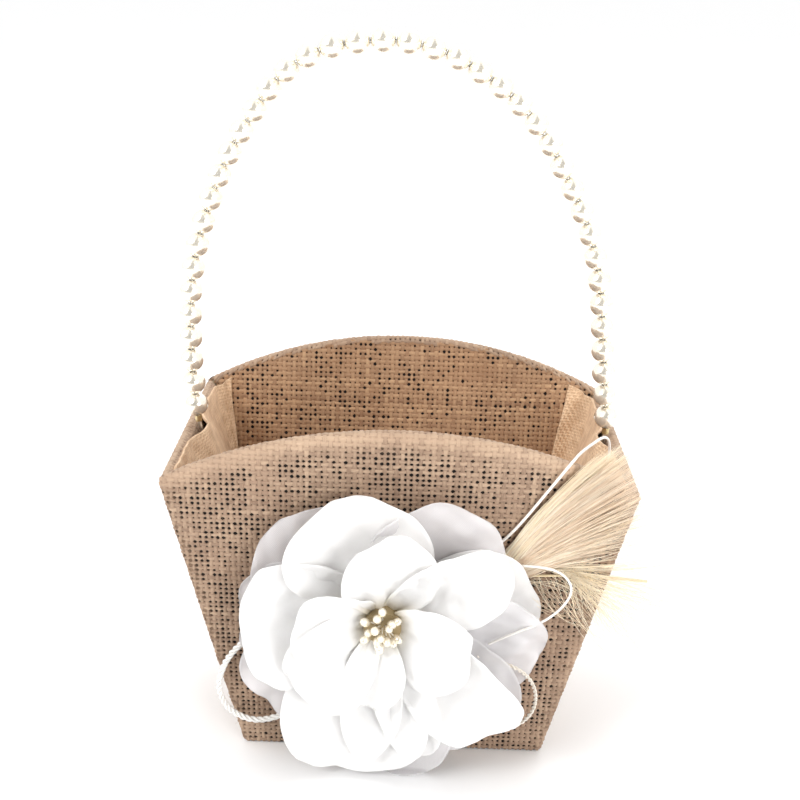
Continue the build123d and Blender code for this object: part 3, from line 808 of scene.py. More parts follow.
front_wall = Wall((0, -BOTTOM_HALF_DEPTH, 0), (0, -1, 0), FACE_SLOPE, BOTTOM_HALF_WIDTH,
                  SIDE_SLOPE, True, WRAP)
back_wall = Wall((0, BOTTOM_HALF_DEPTH, 0), (0, 1, 0), FACE_SLOPE, BOTTOM_HALF_WIDTH,
                 SIDE_SLOPE, True, WRAP)
left_wall = Wall((-BOTTOM_HALF_WIDTH, 0, 0), (-1, 0, 0), SIDE_SLOPE,
                 BOTTOM_HALF_DEPTH - SIDE_INSET, FACE_SLOPE, False, 0.0)
right_wall = Wall((BOTTOM_HALF_WIDTH, 0, 0), (1, 0, 0), SIDE_SLOPE,
                  BOTTOM_HALF_DEPTH - SIDE_INSET, FACE_SLOPE, False, 0.0)
front_inside = InnerWall(front_wall, LINING_DEPTH, LINING_INSET)
back_inside = InnerWall(back_wall, LINING_DEPTH, LINING_INSET)
print("walls lean by", round(math.degrees(math.atan(SIDE_SLOPE)), 1), "and",
      round(math.degrees(math.atan(FACE_SLOPE)), 1), "degrees; arch radius", round(ARCH_R, 1))

# %% [markdown]
# ### The ground cloth
# Under the threads lies a plain dark sheet, cut in one piece: up the outside and rolled
# over the rim. On the side walls it goes on down inside, behind the lining, and on the
# front and back it ends where the burlap lining meets it. It closes the weave, so no card
# shows through the holes. Its near-black colour is painted shade, the shade in the holes
# between the threads, and it is painted tan near the rim and near the upright edges.
# It is a grid that follows the same placing function, with a little thickness.

# %% Ground cloth
RIM_BAND = 3.2        # height of the rolled rim band: there the threads get a painted highlight and their holes shut
GROUND_DROP = 0.12    # the ground cloth lies this far under the middle of the threads
GROUND_INSET = 0.25   # and stops this far short of their ends
GROUND_T = 0.35
FITTING_PASSES = 12   # a cut's width depends on its height and the other way round


def rim_share(wall, s, t):
    """One at the rim, falling to nothing a few millimetres below it on both sides."""
    if isinstance(wall, InnerWall):
        return np.zeros(np.shape(t))
    return np.exp(-((t - wall.top(s) + 1.0) / RIM_BAND) ** 2)


def ground_cloth(name, wall, start, node, finish, columns=49, rows=72):
    share, climb = np.meshgrid(np.linspace(-1, 1, columns), np.linspace(0, 1, rows))
    s = share * TOP_HALF_WIDTH * 0.9
    for _ in range(FITTING_PASSES):
        t = start + climb * (wall.last(s) - start)
        s = share * (wall.limit(s, t) - GROUND_INSET)
    points = wall.place(s, t, np.full(s.shape, -GROUND_DROP)).reshape(-1, 3)
    flat = np.stack([s, t], axis=-1).reshape(-1, 2)
    faces = grid_faces(rows, columns)
    # tone: where the painted hole shade gives way to tan, near the upright edges and on the rim.
    sides = np.exp(-((np.abs(s) - wall.half(np.minimum(t, wall.top(s)))) / 2.0) ** 2)
    tone = np.clip(1.3 * rim_share(wall, s, t) + sides, 0, 1).ravel()
    piece = put_in_scene(name, cloth_mesh(name, points, faces, flat, tone), "basket",
                         finish)
    thicken(piece, GROUND_T)
    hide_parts(node)
    return piece


# %% [markdown]
# ### Weaving the burlap
# In a plain weave every thread goes over one and under the next. Warp threads run up the
# wall and weft threads across it, about 1.85 mm apart. A thread here is a low ribbon with
# a raised crown. Its height swings from over to under, its edges wander, and where four
# threads leave a corner open, both edges draw back and the dark ground cloth shows, with
# its painted shade. All of it is worked out in flat numbers first, then placed, so the
# weave rolls over the rim too.

# %% Weave
PITCH = 1.85
SWING = 0.20          # how far a thread rises and falls about the cloth's middle
CROWN = 0.36          # a thread's own height
SECTION = ((-1.0, 0.0), (-0.5, 0.9), (0.45, 1.0), (1.0, 0.0))
EDGE_SHADE = 0.55     # painted shade: how much darker a thread's tone is made along its edges, where it dips beside the next one
RIM_LIGHT = 0.5       # painted highlight: how much paler the threads' tone is made along the rolled rim
THREAD_HALF = 0.49    # half a thread's width where it crosses another, in pitches
WANDER, WANDER_STEP = 0.07, 18    # how far a thread strays, and over how many half pitches
SINK = 0.05           # the whole weave sits this much deeper than its middle line


def open_corners(rng, columns, rows, share):
    """Half width of the hole at each corner between threads: most are shut."""
    hole = rng.uniform(0.06, 0.26, (columns, rows))
    cells = (columns // 5 + 3, rows // 5 + 3)
    patch = rng.uniform(0, 1, cells)
    x = np.linspace(0, cells[0] - 1.01, columns)
    y = np.linspace(0, cells[1] - 1.01, rows)
    fx, fy = (x % 1)[:, None], (y % 1)[None, :]
    ix, iy = x.astype(int)[:, None], y.astype(int)[None, :]
    local = ((patch[ix, iy] * (1 - fx) + patch[ix + 1, iy] * fx) * (1 - fy)
             + (patch[ix, iy + 1] * (1 - fx) + patch[ix + 1, iy + 1] * fx) * fy)
    is_open = rng.uniform(0, 1, hole.shape) < np.minimum(share * 2.6 * local ** 1.5, 0.66)
    hole[is_open] = rng.uniform(0.40, 0.72, int(is_open.sum()))
    return hole


def half_thread(odd, hole, shut, fat):
    """Half width along a thread: full at a crossing, and drawn back from a hole."""
    return np.where(odd, PITCH * THREAD_HALF, PITCH / 2 - hole * shut) * fat


def hole_share(wall, s, t):
    """How much of a hole is left: nearly none on the rolled rim."""
    return 1 - np.clip(rim_share(wall, s, t) * 1.5, 0, 0.9)


def weave(name, wall, start, seed, finish, slot, open_share=0.52):
    """Warp and weft threads over a wall, as one mesh."""
    rng = np.random.default_rng(seed)
    reach = float(np.max(wall.limit(np.array([0.0]), wall.top(np.array([TOP_HALF_WIDTH])))))
    half_count = int(reach / PITCH) + 1
    warps = 2 * half_count
    wefts = int((float(wall.last(np.array([0.0]))[0]) - start) / PITCH) + 1
    hole = open_corners(rng, warps + 1, wefts + 1, open_share)
    points, faces, flats, tones, count = [], [], [], [], 0

    def add_thread(s, t, height, left, right, across, tone, keep, is_warp):
        """One ribbon along s, t: its faces are kept only where the cloth is."""
        nonlocal count
        rows = []
        for offset, lift in SECTION:
            shift = offset * (left if offset < 0 else right)
            d = height + CROWN * lift
            if is_warp:
                rows.append(wall.place(s + shift, t, d))
            else:
                rows.append(wall.place(s, t + shift, d))
        ring = np.stack(rows, axis=1)
        quads = grid_faces(len(s), len(SECTION), count)
        step = np.repeat(keep[:-1] & keep[1:], len(SECTION) - 1)
        quads = quads[step]
        faces.append(quads[:, ::-1] if is_warp else quads)
        points.append(ring.reshape(-1, 3))
        run = (t if is_warp else s)[:, None] + np.zeros(len(SECTION))
        side = np.array([o for o, _ in SECTION])[None, :] * PITCH / 2 + across
        flats.append(np.stack(np.broadcast_arrays(run, side), -1).reshape(-1, 2))
        # Painted shade: the tone is darkened along both edges of every thread.
        shaded = tone[:, None] - EDGE_SHADE * np.array([abs(o) == 1 for o, _ in SECTION])
        # Painted highlight: the tone is made paler along the rolled rim.
        shaded = shaded + RIM_LIGHT * rim_share(wall, s, t)[:, None]
        tones.append(np.clip(shaded, 0, 1).ravel())
        count += ring.shape[0] * len(SECTION)

    samples = 2 * wefts + 1
    k = np.arange(samples)
    odd = k % 2 == 1
    for i in range(warps):
        centre = (i - half_count + 0.5) * PITCH
        s = centre + smooth_noise(rng, samples, WANDER_STEP, WANDER)
        t = start + k * PITCH / 2
        row = np.clip(k // 2, 0, wefts - 1)
        lift = np.where(odd, np.where((i + row) % 2 == 0, SWING, -SWING), 0.0)
        corner = np.clip((k + 1) // 2, 0, wefts)
        fat = 1 + smooth_noise(rng, samples, 9, 0.05)
        shut = hole_share(wall, s, t)
        left = half_thread(odd, hole[i, corner], shut, fat)
        right = half_thread(odd, hole[i + 1, corner], shut, fat)
        tone = 0.5 + rng.normal(0, 0.13) + smooth_noise(rng, samples, 10, 0.14)
        keep = (np.abs(s) <= wall.limit(s, t)) & (t <= wall.last(s))
        add_thread(s, t, lift - SINK, left, right, centre * 3, tone, keep, True)

    samples = 2 * warps + 1
    k = np.arange(samples)
    odd = k % 2 == 1
    for j in range(wefts):
        centre = start + (j + 0.5) * PITCH
        t = centre + smooth_noise(rng, samples, WANDER_STEP, WANDER)
        s = (k / 2 - half_count) * PITCH
        column = np.clip(k // 2, 0, warps - 1)
        lift = np.where(odd, np.where((column + j) % 2 == 0, -SWING, SWING), 0.0)
        corner = np.clip((k + 1) // 2, 0, warps)
        fat = 1 + smooth_noise(rng, samples, 9, 0.06)
        shut = hole_share(wall, s, t)
        left = half_thread(odd, hole[corner, j], shut, fat)
        right = half_thread(odd, hole[corner, j + 1], shut, fat)
        tone = 0.52 + rng.normal(0, 0.14) + smooth_noise(rng, samples, 10, 0.16)
        furthest = wall.limit(s, t)
        clipped = np.clip(s, -furthest, furthest)
        keep = (t <= wall.last(s)) & (np.abs(s) < furthest + PITCH / 2)
        add_thread(clipped, t, lift - SINK, left, right, centre * 3, tone, keep, False)

    mesh = cloth_mesh(name, np.concatenate(points), np.concatenate(faces),
                      np.concatenate(flats), np.concatenate(tones))
    drop_loose(mesh)
    piece = put_in_scene(name, mesh, "basket", finish)
    print(name, warps, "warp and", wefts, "weft threads,", len(mesh.polygons), "faces")
    return piece


for name, wall, node, seed in (("front", front_wall, "front_cover", 11),
                               ("back", back_wall, "back_cover", 12),
                               ("left", left_wall, "left_cover", 13),
                               ("right", right_wall, "right_cover", 14)):
    ground_cloth(name + "_ground_cloth", wall, 0.3, node, [burlap_hole_shade])
    weave(name + "_burlap", wall, 0.35, seed, [burlap_thread], "burlap")

for name, wall, node, seed in (("front_inside", front_inside, "front_lining", 21),
                               ("back_inside", back_inside, "back_lining", 22)):
    ground_cloth(name + "_ground", wall, FLOOR_TOP + 0.1, node, [burlap_hole_shade])
    weave(name + "_burlap", wall, FLOOR_TOP + 0.2, seed, [burlap_inside_light_copy], "burlap_lining",
          open_share=0.27)

# %% [markdown]
# ### Side linings
# Inside each end the lining is a smoother, paler cloth. It bows away from the wall, so a
# pocket is left for the end of the handle, and its top edge is folded over and glued in
# a soft wave. It is one sheet: a long grid, bowed most near the handle, with its top row
# of points turned over towards the wall. At the back corner it turns and runs a little
# way along the back wall, further on the right than on the left.

# %% Side linings
BOW = 3.9             # how far the lining stands off at its fullest
BOW_AT, BOW_HALF = 6.0, 36.0
TOP_BOW_HALF = 13.0   # near the rim it stands off only round the handle
TURN_TOP, TURN_LOW = (5.5, 9.0), (1.0, 8.5)   # reach along the back wall: left, right
LINING_T = 0.6
LINING_AT = 4.35      # from the side wall's outside to the lining where it doesn't bow
FOLD_R = 0.55         # radius of the folded top edge
BACK_FOLD_R = 0.45    # and of its fold along the back wall
ROUND, ROUND_REACH = 1.9, 2.4     # how the cloth rounds off a corner, and over how far


def side_lining(name, side, node):
    """One side's lining: side is -1 on the left and 1 on the right."""
    columns, turn_columns, rows, fold_rows = 61, 12, 46, 7
    level = np.minimum(np.arange(rows + fold_rows) / (rows - 1), 1)[:, None]
    fold = np.clip((np.arange(rows + fold_rows) - rows + 1) / fold_rows, 0, 1)[:, None]
    y_share = np.concatenate([np.linspace(-1, 1, columns), np.ones(turn_columns)])[None, :]
    turned = np.concatenate([np.zeros(columns), np.linspace(0, 1, turn_columns + 1)[1:]])[None, :]
    wave = 0.35 * np.sin(y_share * 5 + side) + 0.2 * np.sin(y_share * 13 + 1)
    pick = 0 if side < 0 else 1
    reach = TURN_LOW[pick] + (TURN_TOP[pick] - TURN_LOW[pick]) * np.clip((level - 0.7) / 0.3, 0, 1)
    along = turned * reach
    top = CORNER_HEIGHT - 0.3 + wave * (1 - turned) + 0.42 * along - 0.2 * turned
    z = FLOOR_TOP + 0.1 + level * (top - FLOOR_TOP - 0.1)
    depth = BOTTOM_HALF_DEPTH + FACE_SLOPE * z - 4.0
    y = y_share * depth - 0.25 * np.sin(np.clip(turned, 0, 1) * math.pi)
    at_top = np.clip((level - 0.8) / 0.2, 0, 1)
    half = BOW_HALF + (TOP_BOW_HALF - BOW_HALF) * at_top
    bow = BOW * np.cos(np.clip((y - BOW_AT * (1 - at_top)) / half, -1, 1) * math.pi / 2) ** 2
    ripple = 0.22 * np.sin(y * 0.33 + side) * np.sin(z * 0.09) + 0.12 * np.sin(y * 0.9 + z * 0.2)
    inner = BOTTOM_HALF_WIDTH + SIDE_SLOPE * z - LINING_AT - bow + ripple - along
    from_corner = np.where(turned > 0, along, depth - y)
    rounding = ROUND * np.exp(-(from_corner / ROUND_REACH) ** 2)
    y = y - rounding
    inner = inner - rounding
    curl = fold * math.pi
    x = side * (inner + FOLD_R * (1 - np.cos(curl)) * (turned == 0))
    y = y + BACK_FOLD_R * (1 - np.cos(curl)) * (turned > 0)
    z = z + FOLD_R * np.sin(curl) - np.where(fold > 0.99, 0.3, 0)
    points = np.stack([x, y, z], axis=-1).reshape(-1, 3)
    flat = np.stack(np.broadcast_arrays(y_share * depth + along, z + fold * 1.7), -1).reshape(-1, 2)
    faces = grid_faces(rows + fold_rows, columns + turn_columns)
    if side > 0:
        faces = faces[:, ::-1]
    mesh = cloth_mesh(name, points, faces, flat)
    piece = put_in_scene(name, mesh, "basket", [side_lining_cloth])
    thicken(piece, LINING_T)
    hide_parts(node)


side_lining("left_side_lining", -1, "left_lining")
side_lining("right_side_lining", 1, "right_lining")

# %% [markdown]
# ### Floor
# The floor is the same sandwich lying flat: burlap under, card between and lining cloth
# on top. The two cloths are thin closed slabs with soft edges, so they are grids with a
# little waviness, and the card stays as the frame has it.

# %% Floor cloths
FLOOR_COLUMNS, FLOOR_ROWS = 41, 31
FLOOR_SLACK = 0.1     # a floor cloth is this much thinner than its place


def floor_cloth(name, node, low, high, inset, finish):
    """A flat cloth between two heights, inset from the walls' outside."""
    share_x, share_y = np.meshgrid(np.linspace(-1, 1, FLOOR_COLUMNS),
                                   np.linspace(-1, 1, FLOOR_ROWS))
    x = share_x * (BOTTOM_HALF_WIDTH + SIDE_SLOPE * low - inset)
    y = share_y * (BOTTOM_HALF_DEPTH + FACE_SLOPE * low - inset)
    edge = np.maximum(np.abs(share_x), np.abs(share_y))
    z = high - 0.15 * (edge > 0.99) + 0.06 * np.sin(x * 0.31) * np.sin(y * 0.27)
    points = np.stack([x, y, z], axis=-1).reshape(-1, 3)
    faces = grid_faces(FLOOR_ROWS, FLOOR_COLUMNS)
    mesh = cloth_mesh(name, points, faces, np.stack([x, y], -1).reshape(-1, 2))
    piece = put_in_scene(name, mesh, "basket", [finish])
    thicken(piece, high - low - FLOOR_SLACK)
    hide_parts(node)


floor_burlap = soft_cloth("floor_burlap", rgb(184, 154, 128), rgb(112, 82, 60), 0.00185,
                          depth=0.0004)
floor_cloth("floor_burlap", "base_cover", 0.0, 0.9, 1.0, floor_burlap)
floor_cloth("floor_lining", "base_lining", 2.9, 3.7, 4.0, side_lining_cloth)
finish_nodes(card_finish, "front_board", "back_board", "left_board", "right_board",
             "base_board")

# %% [markdown]
# ## The pearls, strung with Geometry Nodes
# Forty like beads on one wire are work for Geometry Nodes: a point for each bead, and one
# bead instanced on them all. The points come from the frame's own beads: each island of
# that mesh gives a middle. A point also keeps the direction of the wire there, so that
# the bead's hole lies along it. The bead itself is turned on a lathe: half a circle with
# a drilled middle. Each bead differs a little in size, from a fixed seed.

# %% Lathe and islands
def lathe(name, profile, segments):
    """A closed turned shape about Z, from a closed profile of (radius, height) in mm."""
    profile = np.array(profile, float)
    around = np.linspace(0, 2 * math.pi, segments, endpoint=False)
    points = np.stack([profile[None, :, 0] * np.cos(around)[:, None],
                       profile[None, :, 0] * np.sin(around)[:, None],
                       np.broadcast_to(profile[None, :, 1], (segments, len(profile)))], -1)
    i, j = np.meshgrid(np.arange(segments), np.arange(len(profile)), indexing="ij")
    n, m = (i + 1) % segments, (j + 1) % len(profile)
    width = len(profile)
    faces = np.stack([i * width + j, n * width + j, n * width + m, i * width + m], -1)
    return cloth_mesh(name, points.reshape(-1, 3), faces.reshape(-1, 4))


def island_middles(node):
    """Middle of each loose part of a frame node, in metres."""
    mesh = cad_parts[node].data
    spots = np.array([v.co for v in mesh.vertices])
    key = {}
    merged = np.array([key.setdefault(tuple(np.round(p, 6)), len(key)) for p in spots])
    parent = np.arange(len(key))

    def root(i):
        while parent[i] != i:
            parent[i] = parent[parent[i]]
            i = parent[i]
        return i

    for edge in mesh.edges:
        a, b = root(merged[edge.vertices[0]]), root(merged[edge.vertices[1]])
        parent[a] = b
    owner = np.array([root(i) for i in merged])
    return np.array([(spots[owner == o].min(0) + spots[owner == o].max(0)) / 2
                     for o in np.unique(owner)])


def points_with(name, spots, **vectors):
    """A mesh of bare points, each with named vector or number attributes, in metres."""
    mesh = bpy.data.meshes.new(name)
    mesh.from_pydata(np.asarray(spots, float).tolist(), [], [])
    for label, values in vectors.items():
        values = np.asarray(values, np.float32)
        if values.ndim == 2:
            mesh.attributes.new(label, "FLOAT_VECTOR", "POINT").data.foreach_set(
                "vector", values.ravel())
        else:
            mesh.attributes.new(label, "FLOAT", "POINT").data.foreach_set("value", values)
    holder = bpy.data.objects.new(name, mesh)
    bpy.context.scene.collection.objects.link(holder)
    return holder


# %% [markdown]
# The node tree is built once and used for pearls, stamen beads, stamen threads and
# feather barbs. Its named inputs are the shape to repeat, the finish, a seed, how much
# the sizes vary and how much each copy turns about itself. The tree ends by making the
# instances real and setting the finish, because an export drops instances.

# %% The tree that repeats a shape
def repeat_tree():
    tree = bpy.data.node_groups.new("repeat_on_points", "GeometryNodeTree")
    sockets = {}
    for label, kind in (("Points", "NodeSocketGeometry"), ("Shape", "NodeSocketObject"),
                        ("Finish", "NodeSocketMaterial"), ("Seed", "NodeSocketInt"),
                        ("Size Varies", "NodeSocketFloat"), ("Spin", "NodeSocketFloat")):
        sockets[label] = tree.interface.new_socket(label, in_out="INPUT", socket_type=kind).identifier
    tree.interface.new_socket("Geometry", in_out="OUTPUT", socket_type="NodeSocketGeometry")
    given = tree.nodes.new("NodeGroupInput").outputs
    result = tree.nodes.new("NodeGroupOutput").inputs
    shape = add(tree, "GeometryNodeObjectInfo", {"Object": given["Shape"]})
    ahead = add(tree, "GeometryNodeInputNamedAttribute", {"Name": "ahead"},
                data_type="FLOAT_VECTOR").outputs["Attribute"]
    size = add(tree, "GeometryNodeInputNamedAttribute", {"Name": "size"},
               data_type="FLOAT_VECTOR").outputs["Attribute"]
    turn_to = add(tree, "FunctionNodeAlignRotationToVector", {"Vector": ahead}, axis="Z")
    varied = add(tree, "FunctionNodeRandomValue", {
        "Min": maths(tree, "SUBTRACT", 1.0, given["Size Varies"]),
        "Max": maths(tree, "ADD", 1.0, given["Size Varies"]), "Seed": given["Seed"]})
    scale = add(tree, "ShaderNodeVectorMath", {0: size, "Scale": varied.outputs[1]},
                operation="SCALE")
    spin_angle = add(tree, "FunctionNodeRandomValue", {
        "Min": 0.0, "Max": given["Spin"], "Seed": maths(tree, "ADD", given["Seed"], 7.0)})
    spin = add(tree, "FunctionNodeAxisAngleToRotation", {"Axis": (0, 0, 1),
                                                         "Angle": spin_angle.outputs[1]})
    turned = add(tree, "FunctionNodeRotateRotation", {
        "Rotation": turn_to.outputs["Rotation"], "Rotate By": spin.outputs["Rotation"]},
        rotation_space="LOCAL")
    copies = add(tree, "GeometryNodeInstanceOnPoints", {
        "Points": given["Points"], "Instance": shape.outputs["Geometry"],
        "Rotation": turned.outputs["Rotation"], "Scale": scale.outputs[0]})
    real = add(tree, "GeometryNodeRealizeInstances", {"Geometry": copies.outputs["Instances"]})
    smooth = add(tree, "GeometryNodeSetShadeSmooth", {"Geometry": real.outputs["Geometry"]})
    done = add(tree, "GeometryNodeSetMaterial", {"Geometry": smooth.outputs["Geometry"],
                                                 "Material": given["Finish"]})
    tree.links.new(done.outputs["Geometry"], result["Geometry"])
    return tree, sockets


repeating, repeat_inputs = repeat_tree()
FULL_TURN = 6.28      # spin for copies that may turn any way about themselves


def repeat_shape(name, holder, shape_mesh, finish, seed, varies, spin, body, nodes=()):
    """Runs the tree on a holder of points and keeps the result as one plain mesh."""
    shape = bpy.data.objects.new(name + "_shape", shape_mesh)
    bpy.context.scene.collection.objects.link(shape)
    modifier = holder.modifiers.new("repeat", "NODES")
    modifier.node_group = repeating
    for label, value in (("Shape", shape), ("Finish", finish), ("Seed", seed),
                         ("Size Varies", varies), ("Spin", spin)):
        modifier[repeat_inputs[label]] = value
    depsgraph = bpy.context.evaluated_depsgraph_get()
    mesh = bpy.data.meshes.new_from_object(holder.evaluated_get(depsgraph))
    mesh.name = name
    holder.modifiers.remove(modifier)
    bpy.data.objects.remove(holder)
    bpy.data.objects.remove(shape)
    piece = bpy.data.objects.new(name, mesh)
    bpy.context.scene.collection.objects.link(piece)
    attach(piece, body)
    if nodes:
        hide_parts(*nodes)
    print(name, "has", len(mesh.polygons), "faces")
    return piece


# %% String the pearls
PEARL_R, BORE_R = 4.0, 0.95
bead_spots = island_middles("handle_pearls")
order = np.argsort(np.arctan2(bead_spots[:, 2] - 0.12, -bead_spots[:, 0]))
bead_spots = bead_spots[order]
bead_ahead = np.gradient(bead_spots, axis=0)
bead_ahead /= np.linalg.norm(bead_ahead, axis=1)[:, None]
lip = math.asin(BORE_R / PEARL_R)
outside = [(PEARL_R * math.sin(a), PEARL_R * math.cos(a))
           for a in np.linspace(math.pi - lip, lip, 21)]
lip_height = PEARL_R * math.cos(lip)
bore = [(BORE_R * 0.9, lip_height - 0.25), (BORE_R * 0.9, -lip_height + 0.25)]
holder = points_with("pearl_points", bead_spots, ahead=bead_ahead, size=np.ones((len(bead_spots), 3)))
repeat_shape("pearls", holder, lathe("pearl_bead", outside + bore, 28), pearl, 3, 0.012,
             FULL_TURN, "handle", ["handle_pearls"])
finish_nodes(steel, "handle_wire")
finish_nodes(brass, "left_end_crimp", "right_end_crimp", "left_anchor_pin", "right_anchor_pin")
print(len(bead_spots), "pearls on the handle")

# %% [markdown]
# ## The flower
# The flower lies on the front wall. Its own flat frame has *u* to the right, *v* up the
# wall and *w* straight out. A petal is a sheet cut as a rounded oval, gathered at its
# root, and then bent: it lifts from the root, dishes across, and curls back at the tip.
# Bending keeps lengths, as real cloth does, so the sheet's flat size stays true. Ruffles
# on the rim, a few soft folds and small wrinkles come last.

# %% Flower frame and the petal
FACE_LEAN = math.atan(FACE_SLOPE)
FLOWER_ORIGIN = np.array((-4.0, -(BOTTOM_HALF_DEPTH + FACE_SLOPE * 63.0), 63.0))
TABLE_GAP = 0.5       # a petal that reaches the table turns forward and lies on it
LEAST_HEIGHT = 0.95   # and one that comes down to the wall lies on its burlap
FLOWER_U = np.array((1.0, 0.0, 0.0))
FLOWER_V = np.array((0.0, -math.sin(FACE_LEAN), math.cos(FACE_LEAN)))
FLOWER_W = np.array((0.0, -math.cos(FACE_LEAN), -math.sin(FACE_LEAN)))


def on_flower(u, v, w):
    """Place of flower coordinates, in millimetres."""
    return (FLOWER_ORIGIN + np.asarray(u)[..., None] * FLOWER_U
            + np.asarray(v)[..., None] * FLOWER_V + np.asarray(w)[..., None] * FLOWER_W)


def wrinkles(rng, a, b, size, waves=7):
    """Smooth small folds over a sheet: a few sine waves in random directions."""
    total = np.zeros(a.shape)
    for _ in range(waves):
        turn, phase = rng.uniform(0, math.pi), rng.uniform(0, 2 * math.pi)
        pitch = rng.uniform(5.0, 15.0)
        total += np.sin(2 * math.pi * (a * math.cos(turn) + b * math.sin(turn)) / pitch + phase)
    return total * size / waves ** 0.5


def petal(name, node, seed, turn, reach, half_width, root, lift, curl, cup, ruffle, tilt,
          finish, slot, thickness, full=0.56, neck=0.34, notch=0.0, wrinkle=0.35,
          rows=40, columns=41, start=4.5):
    """A petal. Lengths are in millimetres, angles in degrees, and cup is in radians."""
    rng = np.random.default_rng(seed)
    q, b = np.meshgrid(np.linspace(0, 1, rows), np.linspace(-1, 1, columns), indexing="ij")
    a = np.where(q < 0.6, full * q / 0.6, full + (1 - full) * np.sin(np.clip((q - 0.6) / 0.4, 0, 1)
                                                                     * math.pi / 2))
    tip = np.clip((a - full) / (1 - full), 0, 1)
    swell = neck + (1 - neck) * np.sin(np.clip(a / full, 0, 1) * math.pi / 2)
    outline = np.where(a < full, swell, np.sqrt(np.maximum(1 - tip ** 2.2, 0.0)))
    width = half_width * np.maximum(outline, 0.02)
    sweep = np.arctan2(outline * b, np.maximum(a - 0.25, -0.1) * 1.5)
    wobble = 1 + 0.025 * np.sin(3 * sweep + rng.uniform(0, 6)) + 0.015 * np.sin(
        7 * sweep + rng.uniform(0, 6))
    wobble = 1 + (wobble - 1) * a - notch * np.exp(-(sweep / 0.25) ** 2) * a ** 3
    steps = np.linspace(0, 1, 200)
    angles = np.radians(lift + (curl - lift) * steps ** 1.3)
    run_r = np.concatenate([[0], np.cumsum(np.cos(angles))[:-1]]) / 200
    run_w = np.concatenate([[0], np.cumsum(np.sin(angles))[:-1]]) / 200
    length = (reach - start) / run_r[-1]
    at = np.clip(a * wobble, 0, 1)
    r = start + length * np.interp(at, steps, run_r)
    w = root + length * np.interp(at, steps, run_w)
    angle = np.interp(at, steps, angles)
    psi = max(cup, 0.02)
    x = width * np.sin(psi * b) / psi
    dish = width * (1 - np.cos(psi * b)) / psi
    rim = np.sqrt((outline * b) ** 2 + (np.clip(a - 0.25, 0, 1) / 0.75) ** 2)
    edge = np.clip(rim, 0, 1) ** 4
    waves = (np.sin(sweep * 3.3 + rng.uniform(0, 6)) + 0.6 * np.sin(
        sweep * 6.1 + rng.uniform(0, 6)))
    pleat = 0.5 * np.sin(b * 9 + rng.uniform(0, 6)) * np.clip(1 - a * 1.7, 0, 1)
    off = (dish + ruffle * waves * edge + pleat
           + wrinkles(rng, length * a, width * b, wrinkle) * np.clip(a * 3, 0, 1))
    r = r - np.sin(angle) * off
    w = w + np.cos(angle) * off + math.tan(math.radians(tilt)) * x
    w = np.maximum(w, LEAST_HEIGHT + 0.25 * np.tanh(w - LEAST_HEIGHT))
    way = math.radians(turn)
    u = r * math.cos(way) - x * math.sin(way)
    v = r * math.sin(way) + x * math.cos(way)
    points = on_flower(u, v, w).reshape(-1, 3)
    sunk = np.maximum(TABLE_GAP - points[:, 2], 0)
    points[:, 2] += sunk
    points[:, 1] -= sunk
    flat = np.stack([width * b, length * a * wobble], axis=-1).reshape(-1, 2)
    faces = grid_faces(rows, columns)
    # tone: one at the root, falling to nothing a third of the way out; the finish paints a gold-brown
    # shadow there
    tone = np.clip(1 - a * 3.2, 0, 1).ravel()
    mesh = cloth_mesh(name, points, faces, flat, tone)
    piece = put_in_scene(name, mesh, "basket", [finish])
    thicken(piece, thickness, 0)
    if node:
        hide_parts(node)
    return piece


# %% [markdown]
# Seventeen petals lie in three main layers: sheer organza at the back, broad chiffon over it,
# and a few small chiffon petals round the middle. Each has its own turn, reach and bend,
# because a flower made by hand has no two petals alike.

# %% Organza petals
ORGANZA_PETALS = (
    # turn, reach, half width, root, lift, curl, cup, ruffle, tilt
    (-18, 55, 23, 2.8, 9, 2, 0.25, 1.0, 3), (54, 49, 23, 3.2, 10, -3, 0.25, 1.1, 4),
    (138, 48, 23, 3.0, 10, -4, 0.25, 1.2, 4), (180, 48, 22, 3.4, 10, 0, 0.30, 1.2, 3),
    (224, 56, 22, 2.8, 10, -2, 0.25, 1.2, 4), (272, 66, 24, 3.0, 12, 2, 0.30, 1.4, 4),
    (308, 60, 24, 3.0, 11, 0, 0.30, 1.3, 4))
for i, row in enumerate(ORGANZA_PETALS, 1):
    petal(f"organza_petal_{i}_cloth", f"organza_petal_{i}", 100 + i, *row, organza, "organza",
          0.12, notch=0.03, wrinkle=0.4)

# %% Outer chiffon petals
OUTER_PETALS = (
    (38, 48, 16, 8.0, 22, -6, 0.55, 1.2, 6), (106, 48, 24, 5.8, 15, -6, 0.40, 1.2, 5),
    (175, 46, 25, 6.0, 18, -4, 0.50, 1.3, 5), (256, 60, 25, 6.0, 18, 2, 0.40, 1.5, 5),
    (320, 56, 18, 7.5, 22, 2, 0.60, 1.4, 6))
for i, row in enumerate(OUTER_PETALS, 1):
    petal(f"outer_petal_{i}_cloth", f"outer_petal_{i}", 200 + i, *row, chiffon, "chiffon", 0.2)

# %% Inner chiffon petals
INNER_PETALS = (
    (84, 41, 16, 9.2, 26, 2, 0.65, 1.1, 8), (160, 29, 15, 9.3, 44, 0, 0.7, 1.0, 6),
    (208, 33, 17, 9.8, 38, 0, 0.7, 1.1, 6), (287, 50, 11.5, 8.6, 24, 2, 0.7, 1.1, 7),
    (354, 29, 19, 10.2, 44, 0, 0.6, 1.0, 6))
for i, row in enumerate(INNER_PETALS, 1):
    petal(f"inner_petal_{i}_cloth", f"inner_petal_{i}", 300 + i, *row, chiffon, "chiffon", 0.2,
          rows=34, columns=33, wrinkle=0.28)

# %% [markdown]
# Three more petals fill gaps: a broad low one on the right, a narrow folded one below,
# and a short one that closes the ring under the stamens.

